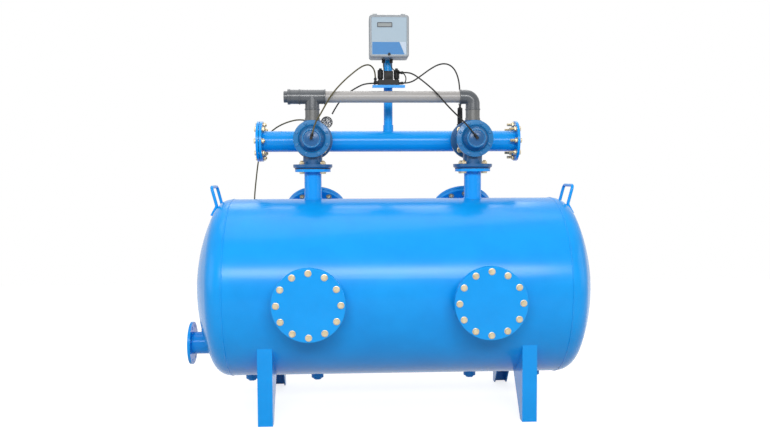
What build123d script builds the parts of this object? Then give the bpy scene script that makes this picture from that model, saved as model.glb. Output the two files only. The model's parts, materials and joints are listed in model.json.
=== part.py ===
from build123d import *
import math
import os

# A horizontal twin-chamber media filter for irrigation water.
# The tank lies along X, its front ports face -Y, and it stands on the plane Z = 0.
# Everything is laid out about the middle of the tank's axis first, and moved at
# the end so that the origin is under the middle of the whole object.
# All sizes are millimetres.

# Tank
TANK_RADIUS = 457.0          # outer radius of the rolled shell
TANK_WALL = 6.0
SHELL_LENGTH = 1670.0        # between the two girth welds
AXIS_HEIGHT = 625.0          # tank axis above the floor
CROWN_RATIO = 2.0            # crown radius of a dished head, in tank radii
KNUCKLE_RATIO = 0.2          # knuckle radius of a dished head, in tank radii
WELD_RADIUS = 4.0
WELD_STAND = 2.5             # how far a weld bead stands proud of the plate
SEAT = 0.2                   # clearance of a piece that sits inside a curved wall
OVERCUT = 1.0                # a cut starts this far outside the face it goes through
REACH_RATIO = 1.2            # a cut through the shell ends outside it, in tank radii

# Chambers inside the tank
PARTITION_THICKNESS = 8.0
PLATE_DEPTH = 225.0          # nozzle plate's top, below the tank axis
PLATE_THICKNESS = 8.0
BED_TOP = 150.0              # top of the sand bed, above the tank axis
BED_GAP = 3.0                # sand stays this far from the walls around it
NOZZLE_ROWS = 2
NOZZLE_COLUMNS = 4
NOZZLE_PITCH_X = 180.0
NOZZLE_PITCH_Y = 300.0
NOZZLE_CAP_RADIUS = 28.0
NOZZLE_CAP_HEIGHT = 40.0
NOZZLE_STEM_RADIUS = 11.0
NOZZLE_STEM_LENGTH = 45.0
NOZZLE_RIM_SHARE = 0.7       # straight part of a nozzle's cap, in cap heights
NOZZLE_TOP_SHARE = 0.6       # flat top of a nozzle's cap, in cap radii
DIFFUSER_RADIUS = 100.0
DIFFUSER_DROP = 70.0         # diffuser's top, below the inside of the shell
DIFFUSER_THICKNESS = 5.0
DIFFUSER_ROD_RADIUS = 5.0
DIFFUSER_ROD_CIRCLE = 70.0
DIFFUSER_ROD_COUNT = 3

# Hand-holes and fill ports
CHAMBER_SPACING = 838.0      # between the middles of the two chambers
NECK_RADIUS = 109.5
NECK_WALL = 6.0
NECK_LENGTH = 74.0           # from the shell to the back of the neck's flange
PORT_FLANGE_RADIUS = 170.0
PORT_FLANGE_THICKNESS = 18.0
PORT_COVER_THICKNESS = 18.0
PORT_GASKET_THICKNESS = 3.0
PORT_BOLT_CIRCLE = 147.5
PORT_BOLT_COUNT = 12
PORT_BOLT_TURN = 90.0
PORT_COVER_EDGE = 2.0
HAND_HOLE_DROP = 10.0        # hand-hole's axis, below the tank axis
FILL_TILT = 46.0             # fill port's axis, back from upright, in degrees

# Fasteners, M16 and M8
BOLT_RADIUS = 8.0
BOLT_HOLE_RADIUS = 9.0
BOLT_FLATS = 24.0
BOLT_HEAD = 10.0
NUT_HEIGHT = 13.0
BOLT_TAIL = 6.0
SCREW_RADIUS = 4.0
SCREW_FLATS = 13.0
SCREW_HEAD = 5.5
SHANK_SIDES = 8
HEXAGON = 6

# Risers
RISER_RADIUS = 44.45
RISER_WALL = 5.0
RISER_FACE = 611.0           # top face of the riser's flange, above the tank axis
RISER_FLANGE_RADIUS = 92.5
RISER_FLANGE_THICKNESS = 14.0
RISER_BOLT_CIRCLE = 76.0
RISER_BOLT_COUNT = 4
RISER_BOLT_TURN = 45.0
GASKET_THICKNESS = 5.0

# Three-way valves; the stem runs along Y and the bonnet faces the front
VALVE_DROP = 150.0           # bottom flange face to stem
VALVE_RISE = 97.0            # stem to the top port's face
VALVE_BACK = 115.0           # stem middle to the rear flange face
VALVE_FLANGE_RADIUS = 102.0
VALVE_FLANGE_THICKNESS = 20.0
BODY_RADIUS = 84.0
BODY_WALL = 9.0
BODY_SHOULDER = 12.0         # the bulb's front edge, in from its widest, and how far back that is
BODY_TAPER_IN = 16.0         # radius lost where the bulb starts to taper
BODY_TAPER_START = 34.0      # behind the valve's middle
BODY_TAPER_END = 62.0
REAR_NECK_STAND = 2.0        # rear neck's radius, beyond the lower neck's
FOOT_CHAMFER = 6.0
UPPER_RIM_STAND = 4.0
UPPER_RIM_LENGTH = 20.0
BONNET_RADIUS = 95.0
BODY_FRONT = 72.0            # body's front face, ahead of the valve's middle
BODY_FRONT_THICKNESS = 12.0
DIAPHRAGM_THICKNESS = 3.0
BONNET_RING = 12.0
BONNET_SHOULDER = 70.0       # radius where the bonnet's cone leaves its ring
BONNET_NOSE = 47.0           # radius of the bonnet's flat nose
BONNET_HEIGHT = 60.0         # ring's back to the nose
BONNET_WALL = 7.0
BONNET_EDGE = 2.0
NOSE_FOOT = 3.0              # the nose's cone is this much wider at its foot
NOSE_STEP = 4.0              # depth of the dish in the nose, and of the cone's last step
NOSE_RIM = 5.0               # width of the flat rim round the dish
DISH_EDGE = 9.0              # the dish's radius, in from the nose's
BOSS_FOOT = 20.0
BOSS_RADIUS = 16.0
BOSS_STAND = 3.0             # tapping's boss, beyond the nose
BONNET_BOLT_CIRCLE = 83.0
BONNET_BOLT_COUNT = 8
LOWER_NECK_RADIUS = 50.0
LOWER_BORE_RADIUS = 38.0
UPPER_NECK_RADIUS = 42.0
UPPER_BORE_RADIUS = 30.0
SEAT_BORE_RADIUS = 30.0
SEAT_WEB = 8.0
WEB_CLEARANCE = 4.0          # the web stands this far clear of the disc
WEB_STEP = 2.0               # the web's steps, past the bores
WEB_RISE = 0.75              # thickness of the web's shelves, in webs
SEAT_RING_STAND = 5.0
SEAT_BACK = 60.0             # front of the inlet seat, behind the valve's middle
DISC_RADIUS = 36.0
DISC_THICKNESS = 15.0
DISC_GAP = 0.3               # disc clear of a seat at each end of its stroke
STEM_END = 6.0               # stem's end, ahead of the front washer
STEM_RADIUS = 7.0
WASHER_RADIUS = 40.0
WASHER_THICKNESS = 4.0
DIAPHRAGM_DROP = 20.0        # diaphragm's middle, behind its clamped rim
DIAPHRAGM_BEND = 3.0         # flat of the diaphragm beyond its washers, in front
DIAPHRAGM_BEND_REAR = 5.0
DIAPHRAGM_SLOPE = 2.0        # the rim's bend is this much further in at the front
SPRING_RADIUS = 24.0
SPRING_WIRE = 2.5
SPRING_TURNS = 4

# Inlet manifold behind the valves
MANIFOLD_RADIUS = 57.15
MANIFOLD_WALL = 5.0
MANIFOLD_BACK = 250.0        # manifold's axis, behind the risers
MANIFOLD_LEFT = 715.0        # left flange face, from the middle
MANIFOLD_RIGHT = 705.0       # right flange face, from the middle
END_FLANGE_RADIUS = 110.0
END_FLANGE_THICKNESS = 14.0
END_BOLT_CIRCLE = 90.0
END_BOLT_COUNT = 8
INLET_BOLT_TAIL = 26.0       # the loose ends of the bolts left in the inlet flange

# Backwash line
PIPE_RADIUS = 30.0
PIPE_WALL = 3.5
PIPE_HEIGHT = 220.0          # backwash line, above the valve stems
SOCKET_RADIUS = 37.0
SOCKET_LENGTH = 69.0         # middle of a fitting to its socket's mouth
SOCKET_DEPTH = 38.0
FIT = 0.2                    # clearance of a pipe in its socket
COUPLER_LENGTH = 44.0
COLLAR_RADIUS = 40.0
COLLAR_LENGTH = 13.0
ADAPTOR_STAND = 2.0          # adaptor's collar, beyond a socket's radius
ADAPTOR_THREAD = 18.0        # adaptor's threaded end, in the valve
ADAPTOR_CUT = 20.0
STUB_LENGTH = 20.0

# Outlet at the lower left end
OUTLET_DROP = 295.0          # outlet's axis, below the tank axis
OUTLET_FACE = 1064.0         # outlet flange's face, left of the middle
NIPPLE_RADIUS = 10.0
NIPPLE_HEIGHT = 19.0
NIPPLE_PLACE = 64.0          # nipple, in from the flange face
NIPPLE_BORE_SHARE = 0.6

# Legs
LEG_PLACE = 640.0
LEG_WIDTH = 72.0
LEG_FRONT = 385.0            # outer face, from the tank's middle plane
LEG_FOOT_DEPTH = 55.0
LEG_TOP_DEPTH = 215.0
LEG_PLATE = 6.0
LEG_TOP_SHARE = 0.9          # height of the front plate's slope on the shell, in tank radii
LEG_TOE = 12.0               # corner cut off the foot

# Lifting handles
HANDLE_RADIUS = 8.0
HANDLE_REACH = 83.0          # each leg of a handle, either side of the middle
HANDLE_TOP = 522.0
HANDLE_LEAN = 26.0
HANDLE_FOOT = 376.0          # end of the foot, above the tank axis
HANDLE_BEND = 424.0          # where the leg leaves the head
HANDLE_BITE = 1.0            # how deep the weld sets the bar into the head
HANDLE_BEND_RATIO = 2.5      # bend radius of the bar, in its own radii

# Drain couplings
DRAIN_PLACES = (-749.0, -405.0, 405.0, 749.0)
DRAIN_RADIUS = 32.0
DRAIN_LENGTH = 30.0
DRAIN_BORE = 21.0
PLUG_FLATS = 36.0
PLUG_HEAD = 10.0
PLUG_DEPTH_SHARE = 0.7       # how far a plug goes in, in coupling lengths

# Post, shelf and controller
POST_RADIUS = 24.15
POST_WALL = 3.2
POST_PLACE = -12.0
POST_TOP = 1400.0            # above the tank axis
POST_COLLAR_RADIUS = 28.0
POST_COLLAR_HEIGHT = 32.0
SHELF_WIDTH = 176.0
SHELF_DEPTH = 90.0
SHELF_BACK = 10.0            # shelf's rear edge, behind the post's middle
SHELF_HEIGHT = 1061.0        # shelf's underside, above the tank axis
SHELF_THICKNESS = 5.0
SHELF_LIP = 10.0
MOUNT_WIDTH = 160.0
MOUNT_HEIGHT = 150.0
MOUNT_THICKNESS = 4.0
MOUNT_BRACKET_HALF = 0.6     # bracket between post and plate, in post radii
MOUNT_BRACKET_BITE = 0.5
CASE_WIDTH = 212.0
CASE_HEIGHT = 224.0
CASE_DEPTH = 84.0
CASE_BOTTOM = 1207.0         # above the tank axis
CASE_WALL = 4.0
CASE_CORNER = 14.0
COVER_DEPTH = 26.0
COVER_LIP = 9.0
HINGE_RADIUS = 5.0
HINGE_PIN_RADIUS = 2.5
HINGE_LENGTH = 12.0
HINGE_INSET = 18.0
HINGE_LEAF = 8.0             # how far a hinge's leaf reaches in front and behind the pin
HINGE_LEAF_DROP = 2.0
HINGE_PIN_GAP = 0.05
HINGE_GAP = 0.3              # between the cover's knuckles and the case's
COVER_EDGE = 5.0
CASE_GAPS = 3.0              # room round the display board, in case walls
BOARD_LOW = 30.0             # board's lower edge, above the case's floor
BOARD_STAND = 12.0
BOARD_THICKNESS = 2.0
LATCH_RISE = 16.0            # latch's middle, above the case's floor
LATCH_RADIUS = 8.0
LATCH_HEIGHT = 3.0
LATCH_STEM = 3.0
LATCH_REACH = 8.0            # latch's tongue, behind the case's rim
LATCH_WING_HALF = 0.25       # half width of the latch's wing, in latch radii
LATCH_WING_REACH = 0.9
GLAND_RADIUS = 9.0
GLAND_LENGTH = 20.0
GLAND_DEPTH = 38.0           # glands' middles, ahead of the case's back
GLAND_PLACES = (-28.0, 14.0)

# Pilots
BLOCK_WIDTH = 116.0
BLOCK_DEPTH = 44.0
BLOCK_HEIGHT = 30.0
PILOT_RADIUS = 16.0
PILOT_SPACING = 88.0
PILOT_FOOT = 8.0
PILOT_CAP = 8.0
COIL_WIDTH = 32.0
COIL_HEIGHT = 48.0
HOUSING_WIDTH = 50.0
HOUSING_TOP = 1146.0         # above the tank axis
HOUSING_INSET = 6.0
BLOCK_EDGE = 4.0
COIL_EDGE = 2.0
PILOT_FOOT_SHARE = 0.7       # radius of a pilot's foot, in pilot radii
PILOT_CAP_SHARE = 0.5
CABLE_ENTRY_X = -37.0
CABLE_ENTRY_Y = 190.0
ENTRY_INSET = 8.0            # the lower cable's entry, in from the block's front and base
BONNET_ELBOW = 14.0          # elbow's corner, ahead of the bonnet's boss
ELBOW_STUD = 14.0
SENSE_PLACE = -785.0         # tapping on the back of the tank
SENSE_RISE = 20.0            # its direction, above level, in degrees
SENSE_STAND = 24.0

# Gauge
GAUGE_RADIUS = 31.0
GAUGE_DEPTH = 26.0
GAUGE_TAP = -387.0           # gauge's tapping, from the middle
GAUGE_TILT = 35.0            # tapping's direction, forward from upright
GAUGE_NIPPLE = 22.0
GAUGE_STEM = 52.0
DIAL_STAND = 8.0
NEEDLE_REST = 45.0           # from upright, towards the left
GAUGE_EDGE = 1.5
GAUGE_RIM = 3.0              # case wall round the dial
GAUGE_BACK = 4.0             # thickness of the case's back
GAUGE_BITE = 0.5             # how deep the stem goes into the case
TAP_CUBE = 18.0
PIN_RADIUS = 1.0
PIN_GAP = 0.06
PIN_LENGTH = 6.0
NEEDLE_STAND = 2.0           # needle's back, in front of the dial
NEEDLE_THICKNESS = 2.0
NEEDLE_HUB = 3.0
NEEDLE_INSET = 9.0           # needle's tip, in from the case's rim, and its tail's length
NEEDLE_TAIL_HALF = 1.3
NEEDLE_TIP_HALF = 0.5
LENS_BACK = 4.0
LENS_FRONT = 1.5

# Strainer
STRAINER_PLACE = 388.0
STRAINER_RADIUS = 14.0
STRAINER_LENGTH = 80.0
STRAINER_BASE = 50.0
STRAINER_SOCKET_SHARE = 0.8
STRAINER_COLLAR_SHARE = 1.25
STRAINER_COLLAR_LENGTH = 14.0
STRAINER_EDGE = 2.0

# Control tubes
TUBE_RADIUS = 4.0
FITTING_RADIUS = 7.5
FITTING_LENGTH = 22.0
FITTING_STUD_SHARE = 0.8
FITTING_ELBOW_SHARE = 0.9
CABLE_RADIUS = 3.0
BEND_SHARE = 0.45            # part of the shorter run that a bend may take up

# Sizes worked out from the ones above
CROWN_RADIUS = CROWN_RATIO * TANK_RADIUS
KNUCKLE_RADIUS = KNUCKLE_RATIO * TANK_RADIUS
KNUCKLE_CENTRE = TANK_RADIUS - KNUCKLE_RADIUS
CROWN_CENTRE = -math.sqrt((CROWN_RADIUS - KNUCKLE_RADIUS) ** 2 - KNUCKLE_CENTRE ** 2)
HEAD_DEPTH = CROWN_RADIUS + CROWN_CENTRE
HALF_SHELL = SHELL_LENGTH / 2
CHAMBERS = (-CHAMBER_SPACING / 2, CHAMBER_SPACING / 2)
VALVE_HEIGHT = RISER_FACE + GASKET_THICKNESS + VALVE_DROP
LINE_HEIGHT = VALVE_HEIGHT + PIPE_HEIGHT
COVER_FACE = (TANK_RADIUS + NECK_LENGTH + PORT_FLANGE_THICKNESS
              + PORT_GASKET_THICKNESS + PORT_COVER_THICKNESS)
DISC_FRONT = SEAT_BACK - DISC_GAP - DISC_THICKNESS
STROKE = DISC_FRONT - DISC_GAP - SEAT_WEB / 2
CASE_BACK = MANIFOLD_BACK - POST_RADIUS - MOUNT_THICKNESS
CASE_FRONT = CASE_BACK - CASE_DEPTH
BLOCK_BACK = MANIFOLD_BACK - POST_RADIUS - 2.0
BLOCK_BASE = SHELF_HEIGHT + SHELF_THICKNESS

os.makedirs("parts", exist_ok=True)


def span(low, high):
    """The middle and the length of a stretch."""
    return (low + high) / 2, high - low


def block(x, y, z):
    """A box from its lowest to its highest value along each axis."""
    (cx, dx), (cy, dy), (cz, dz) = span(*x), span(*y), span(*z)
    return Pos(cx, cy, cz) * Box(dx, dy, dz)


def rod(radius, start, end):
    """A round bar from one point to another."""
    start, end = Vector(start), Vector(end)
    return Solid.extrude(Plane(start, z_dir=end - start) * Circle(radius).face(), end - start)


def pipe(radius, wall, start, end):
    """A round tube from one point to another."""
    return rod(radius, start, end) - rod(radius - wall, start, end)


def plate_ring(plane, outer, inner, thickness):
    """A flat ring that grows from a plane along its normal."""
    face = Circle(outer) - Circle(inner) if inner else Circle(outer)
    return extrude(plane * face, amount=thickness)


def bolt_places(plane, radius, count, turn=0.0):
    """Planes on a bolt circle."""
    for spot in PolarLocations(radius, count, start_angle=turn):
        yield Plane(plane.location * spot)


def drill(solid, plane, radius, count, hole, depth, turn=0.0):
    """A solid with a circle of holes, from a plane along its normal."""
    holes = [extrude(place * Circle(hole), amount=depth) for place in
             bolt_places(plane, radius, count, turn)]
    return solid - holes


def bolt(place, grip, tail=BOLT_TAIL):
    """A hexagon bolt with its nut; its head sits on the plane, and it runs back from it."""
    across = BOLT_FLATS / math.sqrt(3)
    head = extrude(place * RegularPolygon(across, HEXAGON), amount=BOLT_HEAD)
    shank = extrude(place * RegularPolygon(BOLT_RADIUS, SHANK_SIDES), amount=-(grip + NUT_HEIGHT + tail))
    nut = extrude(place.offset(-grip) * RegularPolygon(across, HEXAGON), amount=-NUT_HEIGHT)
    return head + shank + nut


def joined(pieces):
    """Separate solids that share one node."""
    solids = []
    for piece in pieces:
        solids.extend(piece.solids())
    return Compound(solids)


# Tank

def head_profile(inset):
    """Points and arcs of a dished head's meridian, from its rim to its middle."""
    turn = math.atan2(KNUCKLE_CENTRE, -CROWN_CENTRE)
    knuckle = KNUCKLE_RADIUS - inset
    crown = CROWN_RADIUS - inset

    def on_knuckle(angle):
        return (knuckle * math.cos(angle), KNUCKLE_CENTRE + knuckle * math.sin(angle))

    def on_crown(angle):
        return (CROWN_CENTRE + crown * math.cos(angle), crown * math.sin(angle))

    upright = math.pi / 2
    return [
        ThreePointArc(on_knuckle(upright), on_knuckle((upright + turn) / 2), on_knuckle(turn)),
        ThreePointArc(on_crown(turn), on_crown(turn / 2), on_crown(0.0)),
    ]


def dome(inset):
    """The solid space under a dished head, its rim in the plane X = 0."""
    arcs = head_profile(inset)
    rim, tip = arcs[0] @ 0, arcs[1] @ 1
    face = make_face(Curve() + arcs + [Line(tip, (0, 0)), Line((0, 0), rim)])
    return revolve(face, Axis.X, 360)


def both_ends(solid):
    """A solid at the right end of the shell, and its mirror at the left end."""
    right = Pos(HALF_SHELL, 0, 0) * solid
    return right, mirror(right, Plane.YZ)


def tank_space(inset):
    """Everything inside the tank's skin, set in from the outer surface."""
    barrel = rod(TANK_RADIUS - inset, (-HALF_SHELL, 0, 0), (HALF_SHELL, 0, 0))
    right, left = both_ends(dome(inset))
    return barrel + right + left


def port_plane(x, fill):
    """The plane of a port on the shell: origin on the tank axis, normal outwards."""
    if fill:
        tilt = math.radians(FILL_TILT)
        return Plane((x, 0, 0), x_dir=(1, 0, 0), z_dir=(0, math.sin(tilt), math.cos(tilt)))
    return Plane((x, 0, -HAND_HOLE_DROP), x_dir=(1, 0, 0), z_dir=(0, -1, 0))


def all_ports():
    """Every large port's plane."""
    return [port_plane(x, fill) for fill in (False, True) for x in CHAMBERS]


def reach(plane, radius, low, high):
    """A round bar along a port's axis."""
    return extrude(plane.offset(low) * Circle(radius), amount=high - low)


TANK_SOLID = tank_space(0.0)
TANK_BORE = rod(TANK_RADIUS, (-HALF_SHELL, 0, 0), (HALF_SHELL, 0, 0))
HEADS = both_ends(dome(0.0) - dome(TANK_WALL))


def tank_shell():
    """The rolled shell with its openings and the two girth welds."""
    shell = pipe(TANK_RADIUS, TANK_WALL, (-HALF_SHELL, 0, 0), (HALF_SHELL, 0, 0))
    for side in (-1, 1):
        bead = Torus(TANK_RADIUS + WELD_STAND - WELD_RADIUS, WELD_RADIUS)
        shell += Pos(side * (HALF_SHELL - WELD_RADIUS), 0, 0) * Rot(0, 90, 0) * bead
    shell -= rod(TANK_RADIUS - TANK_WALL, (-HALF_SHELL, 0, 0), (HALF_SHELL, 0, 0))
    for plane in all_ports():
        shell -= reach(plane, NECK_RADIUS - NECK_WALL, TANK_RADIUS / 2, TANK_RADIUS * REACH_RATIO)
    for x in CHAMBERS:
        shell -= rod(RISER_RADIUS - RISER_WALL, (x, 0, TANK_RADIUS / 2), (x, 0, TANK_RADIUS * REACH_RATIO))
    for x in DRAIN_PLACES:
        shell -= rod(DRAIN_BORE, (x, 0, -TANK_RADIUS * REACH_RATIO), (x, 0, -TANK_RADIUS / 2))
    return shell


def left_head():
    """The left head, open where the outlet pipe meets it."""
    bore = MANIFOLD_RADIUS - MANIFOLD_WALL
    return HEADS[1] - rod(bore, (-OUTLET_FACE, 0, -OUTLET_DROP), (-HALF_SHELL, 0, -OUTLET_DROP))


def chamber_partition():
    """The flat wall between the two chambers, standing on the nozzle plate."""
    disc = rod(TANK_RADIUS - TANK_WALL - SEAT, (-PARTITION_THICKNESS / 2, 0, 0),
               (PARTITION_THICKNESS / 2, 0, 0))
    wide = TANK_RADIUS * 2
    return disc & block((-wide, wide), (-wide, wide), (-PLATE_DEPTH, wide))


def nozzle_places():
    """Where the underdrain nozzles stand."""
    for x in CHAMBERS:
        for spot in GridLocations(NOZZLE_PITCH_X, NOZZLE_PITCH_Y, NOZZLE_COLUMNS, NOZZLE_ROWS):
            yield Pos(x, 0, -PLATE_DEPTH) * spot


def nozzle_plate():
    """The false floor that carries the sand and the nozzles."""
    wide = TANK_RADIUS * 4
    slab = block((-wide, wide), (-wide, wide), (-PLATE_DEPTH - PLATE_THICKNESS, -PLATE_DEPTH))
    plate = slab & tank_space(TANK_WALL + SEAT)
    return plate - [place * Cylinder(NOZZLE_STEM_RADIUS + SEAT, 4 * PLATE_THICKNESS)
                    for place in nozzle_places()]


def nozzle():
    """A slotted plastic nozzle: domed cap, stem through the plate."""
    cap = NOZZLE_CAP_RADIUS
    face = make_face(Polyline(
        (0, -NOZZLE_STEM_LENGTH), (NOZZLE_STEM_RADIUS, -NOZZLE_STEM_LENGTH),
        (NOZZLE_STEM_RADIUS, 0), (cap, 0), (cap, NOZZLE_CAP_HEIGHT * NOZZLE_RIM_SHARE),
        (cap * NOZZLE_TOP_SHARE, NOZZLE_CAP_HEIGHT), (0, NOZZLE_CAP_HEIGHT), close=True))
    return revolve(Plane.XZ * face, Axis.Z, 360)


def inlet_diffusers():
    """A round plate hung on three rods under each riser, inside the tank."""
    top = TANK_RADIUS - TANK_WALL - DIFFUSER_DROP
    pieces = []
    for x in CHAMBERS:
        plane = Plane((x, 0, top - DIFFUSER_THICKNESS))
        plate = extrude(plane * Circle(DIFFUSER_RADIUS), amount=DIFFUSER_THICKNESS)
        for place in bolt_places(plane, DIFFUSER_ROD_CIRCLE, DIFFUSER_ROD_COUNT, PORT_BOLT_TURN):
            plate += extrude(place * Circle(DIFFUSER_ROD_RADIUS), amount=DIFFUSER_DROP * 2)
        pieces.append(plate & rod(TANK_RADIUS - TANK_WALL - SEAT, (-HALF_SHELL, 0, 0),
                                  (HALF_SHELL, 0, 0)))
    return joined(pieces)


def filter_media():
    """The two sand beds, with a pocket around each nozzle."""
    wide = TANK_RADIUS * 4
    space = tank_space(TANK_WALL + BED_GAP)
    pockets = [place * Pos(0, 0, NOZZLE_CAP_HEIGHT / 2)
               * Cylinder(NOZZLE_CAP_RADIUS + OVERCUT, NOZZLE_CAP_HEIGHT + 2 * OVERCUT)
               for place in nozzle_places()]
    edge = PARTITION_THICKNESS / 2 + BED_GAP
    beds = []
    for x in ((-wide, -edge), (edge, wide)):
        slab = block(x, (-wide, wide), (-PLATE_DEPTH + SEAT, BED_TOP))
        beds.append((slab & space) - pockets)
    return joined(beds)


# Ports

def port_neck(plane):
    """A short neck on the shell with its drilled flange."""
    face = TANK_RADIUS + NECK_LENGTH
    top = face + PORT_FLANGE_THICKNESS
    neck = reach(plane, NECK_RADIUS, TANK_RADIUS / 2, top)
    neck += reach(plane, PORT_FLANGE_RADIUS, face, top)
    neck -= reach(plane, NECK_RADIUS - NECK_WALL, 0, top + 1)
    neck = drill(neck, plane.offset(face), PORT_BOLT_CIRCLE, PORT_BOLT_COUNT,
                 BOLT_HOLE_RADIUS, PORT_FLANGE_THICKNESS, PORT_BOLT_TURN)
    return neck - TANK_BORE


def port_gasket(plane):
    """A ring of rubber inside the bolt circle."""
    low = TANK_RADIUS + NECK_LENGTH + PORT_FLANGE_THICKNESS
    outer = PORT_BOLT_CIRCLE - BOLT_HOLE_RADIUS - 2
    return plate_ring(plane.offset(low), outer, NECK_RADIUS - NECK_WALL, PORT_GASKET_THICKNESS)


def port_cover(plane):
    """The blind cover of a port."""
    seat = plane.offset(COVER_FACE - PORT_COVER_THICKNESS)
    cover = plate_ring(seat, PORT_FLANGE_RADIUS, 0, PORT_COVER_THICKNESS)
    cover = chamfer(cover.edges().filter_by(GeomType.CIRCLE).group_by(
        lambda edge: (edge.center() - plane.origin).length)[-1], PORT_COVER_EDGE)
    return drill(cover, seat, PORT_BOLT_CIRCLE, PORT_BOLT_COUNT, BOLT_HOLE_RADIUS,
                 PORT_COVER_THICKNESS, PORT_BOLT_TURN)


def port_bolts(plane):
    """The bolts of one port."""
    grip = PORT_COVER_THICKNESS + PORT_GASKET_THICKNESS + PORT_FLANGE_THICKNESS
    return [bolt(place, grip) for place in
            bolt_places(plane.offset(COVER_FACE), PORT_BOLT_CIRCLE, PORT_BOLT_COUNT, PORT_BOLT_TURN)]


# Risers

def riser(x):
    """The pipe from the tank to a valve, with its flange."""
    plane = Plane((x, 0, RISER_FACE - RISER_FLANGE_THICKNESS))
    tube = rod(RISER_RADIUS, (x, 0, TANK_RADIUS / 2), (x, 0, RISER_FACE))
    tube += plate_ring(plane, RISER_FLANGE_RADIUS, 0, RISER_FLANGE_THICKNESS)
    tube -= rod(RISER_RADIUS - RISER_WALL, (x, 0, 0), (x, 0, RISER_FACE + 1))
    tube = drill(tube, plane, RISER_BOLT_CIRCLE, RISER_BOLT_COUNT, BOLT_HOLE_RADIUS,
                 RISER_FLANGE_THICKNESS, RISER_BOLT_TURN)
    return tube - TANK_BORE


def riser_gasket(x):
    """The full-face gasket under a valve."""
    plane = Plane((x, 0, RISER_FACE))
    ring = plate_ring(plane, RISER_FLANGE_RADIUS, RISER_RADIUS - RISER_WALL, GASKET_THICKNESS)
    return drill(ring, plane, RISER_BOLT_CIRCLE, RISER_BOLT_COUNT, BOLT_HOLE_RADIUS,
                 GASKET_THICKNESS, RISER_BOLT_TURN)


def riser_bolts(x):
    """The four bolts of a riser, heads below and nuts on the valve's flange."""
    plane = Plane((x, 0, RISER_FACE - RISER_FLANGE_THICKNESS), z_dir=(0, 0, -1))
    grip = RISER_FLANGE_THICKNESS + GASKET_THICKNESS + VALVE_FLANGE_THICKNESS
    return [bolt(place, grip) for place in
            bolt_places(plane, RISER_BOLT_CIRCLE, RISER_BOLT_COUNT, RISER_BOLT_TURN)]


# Valves, modelled about the middle of the body, stem along Y

def turned(*points):
    """A solid of revolution about Y from (radius, y) points."""
    return revolve(make_face(Polyline(*points, close=True)), Axis.Y, 360)


def valve_bulb(inset, front, back):
    """The rounded middle of the body, from the front chamber to the rear neck."""
    wide = BODY_RADIUS - inset
    narrow = LOWER_NECK_RADIUS + REAR_NECK_STAND - inset
    shoulder = (wide - BODY_SHOULDER, front)
    taper = (wide - BODY_TAPER_IN, BODY_TAPER_START)
    face = make_face(Curve() + [
        Line((0, front), shoulder),
        ThreePointArc(shoulder, (wide, -BODY_SHOULDER), taper),
        Line(taper, (narrow, BODY_TAPER_END)),
        Line((narrow, BODY_TAPER_END), (narrow, back)),
        Line((narrow, back), (0, back)),
        Line((0, back), (0, front))])
    return revolve(face, Axis.Y, 360)


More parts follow.
